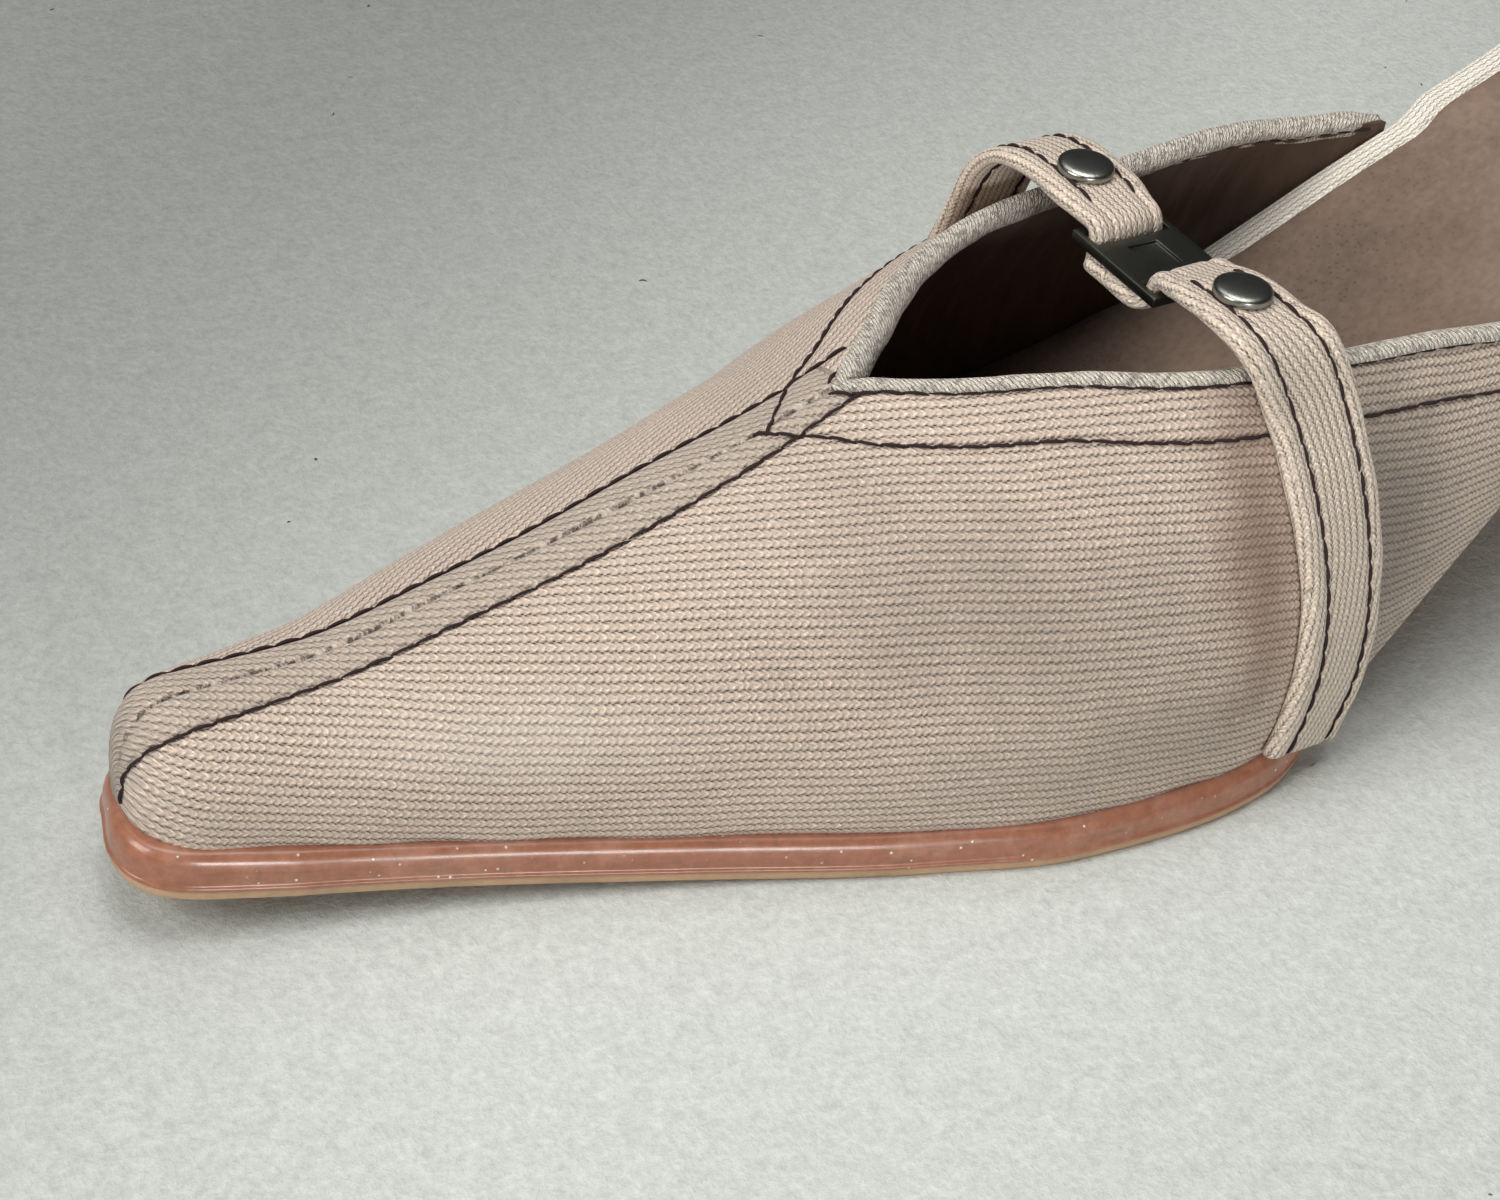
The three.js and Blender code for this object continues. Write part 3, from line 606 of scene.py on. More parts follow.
class Shader:
    """A material and its nodes. Colours and vectors are sockets, numbers are Values."""

    def __init__(self, name):
        self.material = bpy.data.materials.new(name)
        self.material.use_nodes = True
        self.tree = self.material.node_tree
        self.surface = self.tree.nodes["Principled BSDF"]

    def node(self, kind, settings=None, inputs=None):
        """Adds a node: settings first, then the values or links of its sockets."""
        node = self.tree.nodes.new(kind)
        for name, value in (settings or {}).items():
            setattr(node, name, value)
        for key, value in (inputs or {}).items():
            self.feed(node.inputs[key], value)
        return node

    def feed(self, socket, value):
        value = value.socket if isinstance(value, Value) else value
        if isinstance(value, bpy.types.NodeSocket):
            self.tree.links.new(value, socket)
        else:
            socket.default_value = value

    def uv(self, layer):
        """The two numbers of a UV map, in millimetres."""
        uv = self.node("ShaderNodeUVMap", {"uv_map": layer})
        split = self.node("ShaderNodeSeparateXYZ", {}, {0: uv.outputs[0]})
        return Value(self, split.outputs[0]), Value(self, split.outputs[1])

    def place(self):
        """The place on the object, in metres."""
        return self.node("ShaderNodeTexCoord").outputs["Object"]

    def axes(self):
        """The place on the object as three numbers in millimetres."""
        split = self.node("ShaderNodeSeparateXYZ", {}, {0: self.place()})
        return [Value(self, split.outputs[i]) * 1000.0 for i in range(3)]

    def vector(self, x=0.0, y=0.0, z=0.0):
        return self.node("ShaderNodeCombineXYZ", {}, {0: x, 1: y, 2: z}).outputs[0]

    def noise(self, vector, scale, detail=2.0, roughness=0.5, distortion=0.0):
        inputs = {"Vector": vector, "Scale": scale, "Detail": detail}
        inputs |= {"Roughness": roughness, "Distortion": distortion}
        return Value(self, self.node("ShaderNodeTexNoise", {}, inputs).outputs[0])

    def cells(self, vector, scale, feature="F1"):
        settings = {"feature": feature}
        node = self.node("ShaderNodeTexVoronoi", settings, {"Vector": vector, "Scale": scale})
        return Value(self, node.outputs["Distance"])

    def mix(self, first, second, factor):
        """The first colour, turning into the second as the factor goes to one."""
        first, second = (tuple(c) + (1.0,) if isinstance(c, tuple) else c for c in (first, second))
        node = self.node("ShaderNodeMix", {"data_type": "RGBA"}, {0: factor, 6: first, 7: second})
        return node.outputs[2]

    def tint(self, tone, factor):
        """The colour multiplied by a grey number."""
        grey = self.vector(factor, factor, factor)
        node = self.node("ShaderNodeMix", {"data_type": "RGBA", "blend_type": "MULTIPLY"}, {0: 1.0})
        self.feed(node.inputs[6], tone)
        self.feed(node.inputs[7], grey)
        return node.outputs[2]

    def finish(self, base, roughness, height=None, depth=1.0, normal_strength=1.0, **constants):
        """Feeds the surface: colour, roughness, a bump of a real height in mm, and constants."""
        base = tuple(base) + (1.0,) if isinstance(base, tuple) else base
        self.feed(self.surface.inputs["Base Color"], base)
        self.feed(self.surface.inputs["Roughness"], roughness)
        if height is not None:
            inputs = {"Strength": normal_strength, "Distance": depth * MM, "Height": height}
            bump = self.node("ShaderNodeBump", {}, inputs)
            self.feed(self.surface.inputs["Normal"], bump.outputs[0])
        for name, value in constants.items():
            self.feed(self.surface.inputs[name], value)
        return self.material


def tone_of(name):
    """A colour property as a plain tuple."""
    return tuple(getattr(bpy.context.scene.mule_colours, name))


def twill_pattern(shader, u, v, pitch, strand):
    """Ribs along u, counted by v, each a rope of slanting strands that part at its middle. Gives the height, the
    valleys and the holes in them, which are masks for painted shade, the crowns of strands, a mask for painted
    highlights, and the lint."""
    where = shader.vector(u, v, 0.0)
    wander = shader.noise(where, 0.11, 2.0)
    rib = v / pitch + wander * 0.6
    number, inside = rib.whole(), rib.part()
    aside = (inside - 0.5).size()
    jitter = shader.noise(where, 0.9, 2.0) * 1.1
    rope = (u / strand + aside * 1.5 + number * 0.5 + jitter).wave()
    fuzz = shader.noise(where, 2.4, 4.0, 0.7)
    # Valleys between the ribs: a mask for painted shade and for the lower height.
    shaded_valley = aside.between(0.2, 0.5)
    # Holes between the strands: a mask for near-black painted shade.
    shaded_holes = aside.between(0.24, 0.44) * (1 - rope).between(0.5, 0.85) * fuzz.between(0.38, 0.5)
    # Crowns of the strands: a mask for painted highlights.
    crown_highlights = (1 - shaded_valley) * rope.between(0.55, 1.0) * fuzz.between(0.48, 0.66)
    height = (1 - shaded_valley * 0.55) * (rope * 0.5 + 0.4) + fuzz * 0.5 - shaded_holes * 0.3
    return height, shaded_valley, shaded_holes, crown_highlights, fuzz


def twill_material(name, tone, dark, kind="plain", pitch=None, strand=None, contrast=1.0):
    """Ribbed twill: pale ropes, painted shade in the soft valleys and near-black painted shade in the holes
    between the strands, painted highlights on the crowns, a tint that shades the relief by its height along with
    lint and fading, and on the vamp real soil with painted shade and a painted sheen."""
    sizes = bpy.context.scene.mule_cloth
    pitch, strand = pitch or sizes.rib_pitch / MM, strand or sizes.strand_pitch / MM
    shader = Shader(name)
    u, v = shader.uv("cloth")
    height, shaded_valley, shaded_holes, crown_highlights, fuzz = twill_pattern(shader, u, v, pitch, strand)
    where = shader.vector(u, v, 0.0)
    worn = shader.noise(where, 0.05, 3.0, 0.6)
    streak = shader.noise(shader.vector(u * 0.06, v * 0.9, 0.0), 1.0, 3.0, 0.6)
    patchy = shader.noise(where, 0.5, 3.0, 0.6).between(0.3, 0.7)
    # Painted shade in the valleys, then near-black painted shade in the holes between the strands.
    base = shader.mix(tone, dark, shaded_valley * (patchy * 0.2 + 0.04) * contrast)
    base = shader.mix(base, tuple(c * 0.3 for c in dark), shaded_holes * (patchy * 0.5 + 0.55) * contrast)
    # A paler copy of the tone: painted highlights on the crowns here, and pale flecks on the strap's folded
    # edges below.
    light = tuple(min(1.0, c * 1.42) for c in tone)
    lint = shader.noise(where, 5.5, 3.0, 0.7)
    base = shader.mix(base, light, crown_highlights * 0.9)
    # Tint: painted shade that darkens the lower parts of the relief and lightens the higher ones, with the
    # random tone of fuzz, lint, wear and fading streaks.
    base = shader.tint(base, height * 0.62 + fuzz * 0.7 + lint * 1.1 + worn * 0.26 + streak * 0.2 - 0.55)
    if kind == "bead":
        # Painted shade in the small pits of the bound edge, which are also sunk in the bump.
        shaded_pits = shader.noise(shader.place(), 1300.0, 3.0, 0.7).between(0.5, 0.64)
        base = shader.mix(base, (0.17, 0.15, 0.125), shaded_pits * 0.62)
        height = height - shaded_pits * 0.6
    if kind == "vamp":
        base = soil_shade_and_sheen(shader, base)
        seam, row = shader.uv("marks")
        strip = row.between(0.3, -0.4)
        base = shader.mix(base, (0.34, 0.305, 0.255), strip * 0.34)
        broken = shader.noise(shader.vector(u * 0.55, seam * 0.3, 0.0), 1.0, 3.0, 0.7)
        ragged = seam + (fuzz - 0.5) * 0.7
        crack = ragged.bell(0.0, 0.36) * broken.between(0.47, 0.56)
        frayed = ragged.bell(0.3, 0.3) * broken.between(0.47, 0.38)
        base = shader.mix(base, (0.02, 0.017, 0.015), crack * 0.85)
        base = shader.mix(base, (0.86, 0.83, 0.78), frayed * 0.4)
        height = height - crack * 1.4
    if kind == "strap":
        aside, _ = shader.uv("marks")
        folded = aside.between(3.5, 4.0)
        pepper = shader.noise(shader.vector(u * 0.9, v * 1.7, 0.0), 1.0, 3.0, 0.75)
        base = shader.mix(base, tuple(c * 0.4 for c in dark), pepper.between(0.55, 0.68) * folded * 0.6)
        base = shader.mix(base, light, pepper.between(0.48, 0.36) * folded * 0.55)
        height = height * (1 - folded * 0.5) + pepper * folded
    return shader.finish(
        base,
        0.92,
        height,
        depth=sizes.rib_height / MM,
        **{"Sheen Weight": 0.3, "Sheen Roughness": 0.5, "Specular IOR Level": 0.2},
    )


def soil_shade_and_sheen(shader, base):
    """Marks on the vamp's near side: a grey smudge and a brown rub beside the strap, which are real soil;
    painted shade low along the ball and on the wall behind the strap; a painted sheen low on the vamp towards
    the toe; and pale lint.
    """
    x, y, z = shader.axes()
    spread = shader.noise(shader.place(), 75.0, 5.0, 0.7) - 0.5
    near = y.between(4.0, -6.0)

    def patch(px, pz, wide, tall):
        dx, dz = (x - px) / wide, (z - pz) / tall
        distance = (dx * dx + dz * dz) ** 0.5 + spread * 1.5
        return (1 - distance.between(0.0, 1.3)) * near

    base = shader.mix(base, (0.20, 0.175, 0.145), patch(-24.0, 27.5, 24.0, 12.0) * 0.42)
    # Painted shade: the low part of the ball, which faces away from the light, darkened.
    base = shader.mix(base, (0.25, 0.215, 0.175), patch(-8.0, 13.0, 36.0, 9.0) * 0.4)
    base = shader.mix(base, (0.23, 0.125, 0.08), patch(4.5, 29.0, 6.5, 22.0) * 0.75)
    # Painted shade on the near wall behind the strap.
    base = shader.mix(base, (0.11, 0.095, 0.08), patch(24.0, 30.0, 13.0, 24.0) * 0.62)
    # Painted sheen: a pale patch low on the vamp towards the toe.
    base = shader.mix(base, (0.80, 0.74, 0.65), patch(-74.0, 19.0, 20.0, 5.0) * 0.3)
    lint = 1 - shader.cells(shader.place(), 170.0).between(0.03, 0.07)
    return shader.mix(base, (0.86, 0.83, 0.76), lint * 0.45)


def thread_material():
    """Waxed dark thread whose two plies twist round each other."""
    shader = Shader("thread")
    u, v = shader.uv("cloth")
    ply = (u * 1.6 + v * 0.9).wave()
    base = shader.mix(tone_of("thread"), (0.075, 0.042, 0.045), ply * 0.5)
    return shader.finish(base, 0.8, ply, depth=0.07, **{"Specular IOR Level": 0.25})


def lining_material():
    """Suede lining with a short nap and creases that run down from the topline, with painted shade in the
    creases and painted light on their ridges.
    """
    shader = Shader("suede_lining")
    u, v = shader.uv("cloth")
    nap = shader.noise(shader.place(), 2600.0, 3.0, 0.7)
    clouds = shader.noise(shader.place(), 60.0, 4.0, 0.6)
    crease = shader.noise(shader.vector(u * 0.22, v * 0.05, 0.0), 1.0, 4.0, 0.55)
    base = shader.mix(tone_of("lining"), tuple(c * 1.9 for c in tone_of("lining")), clouds * 0.6)
    # Painted shade and light: the colour follows the creases' height, darker in the creases, lighter on the
    # ridges.
    base = shader.tint(base, nap * 0.5 + crease * 1.5 + 0.1)
    height = crease * 1.0 + nap * 0.08
    return shader.finish(base, 0.8, height, depth=0.9, **{"Sheen Weight": 0.1})


def sock_material():
    """Thin lining leather, matt and porous, with rubbed darker places and fine wrinkles."""
    shader = Shader("sock_leather")
    place = shader.place()
    clouds = shader.noise(place, 38.0, 4.0, 0.62)
    grain = shader.noise(place, 900.0, 3.0, 0.6)
    pores = (1 - shader.cells(place, 1150.0).between(0.1, 0.34)) * clouds.between(0.35, 0.6)
    wrinkle = shader.cells(shader.vector(*[a * 0.001 for a in shader.axes()]), 260.0, "SMOOTH_F1")
    base = shader.mix(tone_of("sock"), (0.14, 0.098, 0.072), clouds.between(0.4, 0.7) * 0.75)
    base = shader.mix(base, (0.34, 0.24, 0.18), clouds.between(0.5, 0.25) * 0.5)
    base = shader.tint(base, grain * 0.7 + 0.65)
    base = shader.mix(base, (0.08, 0.055, 0.04), pores * 0.4)
    height = grain * 0.35 - pores * 0.6 + wrinkle * 0.35
    return shader.finish(base, 0.68, height, depth=0.12, **{"Specular IOR Level": 0.35})


def edge_material():
    """Painted leather edge: terracotta with darker streaks along it, glossy, with bright dust."""
    shader = Shader("sole_edge")
    u, v = shader.uv("cloth")
    place = shader.place()
    streak = shader.noise(shader.vector(u * 0.12, v * 1.2, 0.0), 1.0, 4.0, 0.6)
    blotch = shader.noise(place, 160.0, 4.0, 0.6)
    base = shader.mix(tone_of("edge"), (0.20, 0.068, 0.036), streak.between(0.5, 0.78) * 0.55)
    base = shader.mix(base, (0.46, 0.24, 0.165), blotch.between(0.45, 0.7) * 0.6)
    base = shader.tint(base, shader.noise(place, 900.0, 4.0, 0.7) * 0.9 + 0.55)
    dust = (1 - shader.cells(place, 620.0).between(0.05, 0.13)) * blotch.between(0.38, 0.55)
    base = shader.mix(base, (0.9, 0.84, 0.76), dust)
    rough = blotch * 0.2 + streak * 0.14 + 0.14
    height = streak * 0.5 + blotch * 0.4 + dust * 0.5
    return shader.finish(base, rough, height, depth=0.07, **{"Coat Weight": 0.35, "Coat Roughness": 0.16})


def tread_material():
    """Bare tan leather of the floor side, scuffed and grey where it treads."""
    shader = Shader("tread_leather")
    place = shader.place()
    scuff = shader.noise(place, 70.0, 5.0, 0.68)
    fibre = shader.noise(place, 700.0, 3.0, 0.6)
    base = shader.mix(tone_of("tread"), (0.22, 0.15, 0.10), scuff.between(0.48, 0.72) * 0.55)
    base = shader.tint(base, fibre * 0.3 + 0.84)
    return shader.finish(base, 0.62, fibre + scuff * 0.6, depth=0.08)


def heel_material():
    """Leather drawn round the heel, softly glossy with a fine grain."""
    shader = Shader("heel_leather")
    place = shader.place()
    grain = shader.cells(place, 950.0, "SMOOTH_F1")
    clouds = shader.noise(place, 55.0, 4.0, 0.6)
    base = shader.mix(tone_of("edge"), (0.17, 0.06, 0.034), clouds.between(0.45, 0.8) * 0.6)
    base = shader.tint(base, grain * 0.25 + 0.86)
    return shader.finish(
        base, clouds * 0.16 + 0.26, grain, depth=0.05, **{"Coat Weight": 0.2, "Coat Roughness": 0.25}
    )


def rubber_material():
    """Hard black-brown rubber with fine dust."""
    shader = Shader("tip_rubber")
    grain = shader.noise(shader.place(), 900.0, 3.0, 0.6)
    base = shader.mix(tone_of("rubber"), (0.09, 0.075, 0.065), grain.between(0.55, 0.8) * 0.6)
    return shader.finish(base, 0.7, grain, depth=0.06)


def metal_material(name, tone, rough, depth):
    """Gunmetal: satin face with fine speckle and rubbed clouds."""
    shader = Shader(name)
    place = shader.place()
    speckle = shader.noise(place, 2400.0, 3.0, 0.7)
    clouds = shader.noise(place, 260.0, 4.0, 0.6)
    base = shader.mix(tone, tuple(c * 0.5 for c in tone), clouds.between(0.42, 0.75) * 0.55)
    base = shader.tint(base, speckle * 0.35 + 0.82)
    return shader.finish(base, clouds * 0.16 + rough, speckle, depth=depth, Metallic=1.0)


def paper_material():
    """Pale rag paper: a felted tooth of fine grains with faint long fibres, with painted shade that greys it
    away from the light."""
    shader = Shader("floor_paper")
    place = shader.place()
    x, y, _ = shader.axes()
    grain = shader.noise(place, 950.0, 4.0, 0.72)
    lumps = shader.noise(place, 330.0, 3.0, 0.6)
    cloud = shader.noise(place, 12.0, 3.0, 0.55)
    warp = shader.noise(place, 160.0, 2.0) * 3.0
    fibre = shader.noise(shader.vector(x * 0.12 + warp, y * 1.1 + warp, 0.0), 1.0, 3.0, 0.6)
    base = shader.tint(tone_of("paper") + (1.0,), grain * 0.62 + lumps * 0.3 + cloud * 0.1 + 0.49)
    base = shader.mix(base, (0.84, 0.85, 0.83), fibre.between(0.6, 0.72) * 0.18)
    # Painted shade: the paper darkens towards the back and the toe's side, as the light falls off.
    shade_falloff = y * 0.0034 - x * 0.0022
    base = shader.tint(base, 1.1 - shade_falloff.between(0.0, 0.62) * 0.56)
    height = grain * 0.7 + lumps * 0.6
    return shader.finish(base, 0.9, height, depth=0.34, **{"Specular IOR Level": 0.15})


MATERIALS = {}


def finish_of(name):
    """A finish by name, made once."""
    makers = {
        # The second colour of each twill is painted shade, for its valleys and the holes between its strands.
        "vamp": lambda: twill_material("vamp_twill", tone_of("twill"), tone_of("shaded_valley"), "vamp"),
        "strap": lambda: twill_material(
            "strap_twill", (0.68, 0.57, 0.47), tone_of("shaded_valley"), "strap", pitch=0.92, strand=0.7
        ),
        "bead": lambda: twill_material(
            "bead_twill", (0.74, 0.67, 0.58), (0.13, 0.115, 0.10), "bead", pitch=0.62, strand=0.8
        ),
        "rim": lambda: twill_material(
            "rim_twill", (0.88, 0.82, 0.72), tone_of("bead"), pitch=0.8, contrast=0.6
        ),
        "thread": thread_material,
        "lining": lining_material,
        "sock": sock_material,
        "edge": edge_material,
        "tread": tread_material,
        "heel": heel_material,
        "rubber": rubber_material,
        "plate": lambda: metal_material("gunmetal", tone_of("metal"), 0.3, 0.02),
        "cap": lambda: metal_material("rivet_metal", (0.36, 0.36, 0.33), 0.22, 0.02),
        "paper": paper_material,
    }
    if name not in MATERIALS:
        MATERIALS[name] = makers[name]()
    return MATERIALS[name]


# ---------------------------------------------------------------- upper


CENTRE_ROWS = {  # x, distance from the centre seam
    NEAR: ((-109.3, 1.5), (-108.3, 2.9), (-104.7, 4.4), (-97, 4.2), (-86, 3.7), (-75, 4.0),
           (-64, 4.2), (-53, 3.8), (-42.6, 3.2), (-37.6, 2.7), (-31, 2.1)),
    FAR: ((-109.3, 6.4), (-107.8, 5.0), (-97, 4.0), (-86, 3.4), (-78, 3.1), (-64, 3.6),
          (-53, 4.3), (-42.7, 4.9), (-37, 5.2), (-31, 5.5)),
}


ROW_START = {NEAR: -200, FAR: -107.3}


def upper_stations(form, scale=1.0):
    """Places along the foot: a quarter turn over the nose, even over the vamp, and close behind
    the throat."""
    turn = np.linspace(0, 1, int(20 * scale) + 1)
    nose = form.nose_radius * (1 - np.cos(turn * np.pi / 2)) - form.toe_length + 0.002
    vamp = np.linspace(nose[-1], form.throat, int(88 * scale))[1:]
    back = np.linspace(0, 1, int(118 * scale))[1:] ** 1.35
    return np.concatenate([nose, vamp, lerp(form.throat, form.upper_end, back)])


def outer_skins():
    """Both outer skins with their distances: to the topline, to the centre seam and to the row
    beside it."""
    form = last()
    stations = upper_stations(form)
    edge = np.concatenate([np.linspace(0, 9, 31), np.array([9.6, 10.4, 11.4])])
    skins = {side: Skin(form, side, 0.0, stations, edge, 34) for side in (NEAR, FAR)}
    for side, skin in skins.items():
        behind = stations > form.throat
        line = np.concatenate([skin.points[~behind, -1][-1:], skin.points[behind, -1]])
        heading = unit(line[0] - line[np.searchsorted(line[:, 0], line[0, 0] + 9)])
        ahead = line[0] + heading * np.linspace(18, 0.4, 40)[:, None]
        skin.edge = nearest(skin.points, even(np.concatenate([ahead, line]), 0.4)[0])
        seam = skin.total - skin.along
        row_at = curve(*np.array(CENTRE_ROWS[side]).T)(stations)[:, None]
        past = ease(stations, form.throat - 0.5, form.throat + 1.5)[:, None] * 30
        skin.row = seam - row_at + past
        skin.seam = seam + past
        behind_throat = ease(stations, form.throat - 2.5, form.throat + 2.5)[:, None]
        skin.inner_row = skin.edge - lerp(1.3, 0, behind_throat)
        skin.outer_row = skin.edge - lerp(0.8, 0, ease(stations, -45, -24))[:, None]
        skin.ribs = skin.along + curve(*np.array(WEAVE).T)(stations)[:, None]
    near, far = skins[NEAR], skins[FAR]
    over_seam = near.ribs[:, -1:] + far.seam
    far.ribs = np.where(far.row < 0, over_seam, far.ribs)
    return form, skins


def relief(skin, cloth):
    """Height of the skin's relief in mm: the doubled seam strip, the band below the topline, the
    troughs of the stitch rows with a pucker at each stitch, the butted seam and faint waves."""
    x, s = skin.stations[:, None], skin.along
    pucker = 0.5 + 0.5 * np.cos(2 * np.pi * x / cloth["stitch_length"])
    outer = skin.outer_row - cloth["outer_row"]
    strip = 0.28 * (1 - ease(skin.row, -0.9, 0.25))
    band = 0.22 * (1 - ease(outer, -0.9, 0.3))
    rows = bump_of(skin.row, 0.5) + bump_of(outer, 0.5)
    wide = bump_of(skin.row, 1.6) + bump_of(outer, 1.6)
    ditch = 0.25 * bump_of(skin.inner_row - cloth["inner_row"], 0.6)
    butt = 0.3 * bump_of(skin.seam, 0.25) - 0.1 * bump_of(skin.seam - 0.8, 0.6)
    wave = 0.10 * np.sin(x / 7.3 + s / 5.1 + skin.side) + 0.08 * np.sin(x / 11.9 - s / 7.7)
    low = 0.12 * np.sin(x / 3.1 + 2 * np.sin(x / 13)) * bump_of(s, 3.0)
    fade = ease(skin.total, 5, 16)
    flat = strip + band - rows * (0.16 + 0.05 * pucker) + wide * 0.07 * pucker - ditch - butt
    return (flat + wave + low) * fade


def crossing(skin, field, level):
    """Where a field of the skin passes a level, one point for each station: the highest crossing
    on the way down from the top, by straight interpolation, with the normal and the way up."""
    above = field[:, ::-1] < level
    first = np.argmax(~above, axis=1)
    found = above[:, 0] & (~above).any(1) & (first > 0)
    rows = np.nonzero(found)[0]
    j = field.shape[1] - 1 - first[rows]
    a, b = field[rows, j], field[rows, j + 1]
    t = ((level - a) / np.where(b == a, 1, b - a))[:, None]
    points = lerp(skin.points[rows, j], skin.points[rows, j + 1], t)
    up = unit(skin.points[rows, j + 1] - skin.points[rows, j])
    return points, unit(lerp(skin.normals[rows, j], skin.normals[rows, j + 1], t)), up


def stitches(path, normals, pitch, thick, lift=0.1, seed=0):
    """Stitches along a path, each a slanting spindle that runs on under its neighbours: its
    radius follows a sine along it, it leans across the row and dips at both ends."""
    points, stops = even(np.concatenate([path, normals], axis=1), pitch / 12)
    points, up = points[:, :3], unit(points[:, 3:])
    points = smooth_path(points, 3)
    count = int(stops[-1] // pitch)
    if count < 1:
        return np.zeros((0, 8, 6, 3)), np.zeros((0, 8, 6, 2))
    pitch = stops[-1] / count
    rng = np.random.default_rng(seed)
    t = np.linspace(0, 1, 9)
    start = np.arange(count)[:, None] * pitch + rng.normal(0, 0.03, (count, 1)) * pitch
    at = np.clip(start + pitch * (1.16 * t[None] - 0.08), 0, stops[-1] + 0.001)
    take = lambda values: np.stack([np.interp(at, stops, values[:, i]) for i in range(3)], -1)
    centre, normal = take(points), unit(take(up))
    tangents = unit(np.gradient(points, axis=0))
    along = unit(take(tangents))
    side = unit(np.cross(along, normal))
    radius = thick / 2 * (0.3 + 0.72 * np.sin(np.pi * t) ** 0.62)
    radius = radius * (1 + rng.normal(0, 0.08, (count, 1)))
    lean = (0.1 + rng.normal(0, 0.03, (count, 1))) * (2 * t - 1)
    height = lift + 0.16 * np.sin(np.pi * t) - 0.12 * (2 * t - 1) ** 4
    angle = np.arange(6) / 6 * 2 * np.pi
    ring = (side[:, :, None] * np.cos(angle)[None, None, :, None]
            + normal[:, :, None] * np.sin(angle)[None, None, :, None])
    body = centre + normal * height[..., None] + side * lean[..., None]
    grid = body[:, :, None] + ring * radius[:, :, None, None]
    uv = pairs((at / thick)[:, :, None], np.arange(6)[None, None, :] / 2.0)
    return grid, uv


def onward(path, normals, length, skins):
    """Runs a row straight on over the cloth from its last point."""
    heading = unit(path[-1] - path[-min(8, len(path))])
    ahead = path[-1] + heading * np.arange(0.4, length + 0.2, 0.4)[:, None]
    points = np.concatenate([skin.points.reshape(-1, 3) for skin in skins.values()])
    outs = np.concatenate([skin.normals.reshape(-1, 3) for skin in skins.values()])
    k = np.linalg.norm(ahead[:, None] - points[None], axis=-1).argmin(1)
    ahead = ahead - outs[k] * ((ahead - points[k]) * outs[k]).sum(-1, keepdims=True)
    return np.concatenate([path, ahead]), np.concatenate([normals, outs[k]])


def add_stitches(gather, *args, **settings):
    """Adds a row of stitches to a gathered mesh."""
    grids, uvs = stitches(*args, **settings)
    for grid, uv in zip(grids, uvs):
        gather.add(grid, cloth=uv, around=True, flip=True)
        gather.close(grid[0])
        gather.close(grid[-1], flip=True)


class MULE_OT_upper(bpy.types.Operator):
    """Build the twill upper with its lining as one shell"""

    bl_idname = "mule.upper"
    bl_label = "Upper"

    def execute(self, context):
        cloth = millimetres(context.scene.mule_cloth)
        form, skins = outer_skins()
        shell = Gather()
        lining_edge = np.linspace(0, 10, 34)
        stations = skins[NEAR].stations
        stations = np.maximum(stations, stations[0] + form.wall)
        linings = {side: Skin(form, side, form.wall, stations, lining_edge, 34) for side in skins}
        for skin, inner in zip(skins.values(), linings.values()):
            skin.raise_by(relief(skin, cloth))
            crease = np.sin(stations[:, None] / 2.3 + np.sin(inner.along / 4))
            crease = crease * bump_of(stations[:, None] - 40, 20) * ease(inner.along, 2, 8)
            inner.raise_by(-0.35 * np.abs(crease))
        join(*skins.values())
        join(*linings.values())
        for side, skin in skins.items():
            inner = linings[side]
            run = skin.points[..., 0]
            marks = pairs(skin.seam, skin.row)
            shell.add(skin.points, cloth=pairs(run, skin.ribs), marks=marks, flip=side == FAR)
            wrap, wrap_uv = self.turned_under(skin)
            shell.add(wrap, cloth=wrap_uv, marks=wrap_uv * 0 + 40, flip=side == NEAR)
            inner_uv = pairs(inner.points[..., 0], inner.along)
            shell.add(inner.points, cloth=inner_uv, slot=1, flip=side == NEAR)
            behind = skin.stations >= form.throat
            for outer_line, inner_line, flip in (
                (skin.points[behind, -1], inner.points[behind, -1], side == FAR),
                (wrap[:, -1], inner.points[:, 0], side == NEAR),
                (skin.points[-1], inner.points[-1], side == NEAR),
            ):
                shell.add(np.stack([outer_line, inner_line], axis=1), slot=1, flip=flip)
        shell.build(
            "upper_shell", [finish_of("vamp"), finish_of("lining")], ["upper"]
        )
        return {"FINISHED"}

    @staticmethod
    def turned_under(skin):
        """The margin of the cloth at the waist, drawn down and in round the edge of the sole: a
        quarter of an ellipse below each point of the feather line."""
        x = skin.stations
        depth = (3.4 * ease(x, 13.5, 22) * (1 - ease(x, 60, 66)))[:, None, None]
        turn = np.linspace(0, np.pi / 2, 8)[None, :, None]
        out = unit(skin.normals[:, 0] * [1, 1, 0])[:, None]
        start = skin.points[:, :1]
        down = np.array([0, 0, 1.0])
        grid = start - down * depth * np.sin(turn) - out * depth * 0.6 * (1 - np.cos(turn))
        below = depth[..., 0] * np.linspace(0, 1.25, 8)[None]
        return grid, pairs(grid[..., 0], skin.ribs[:, :1] - below)


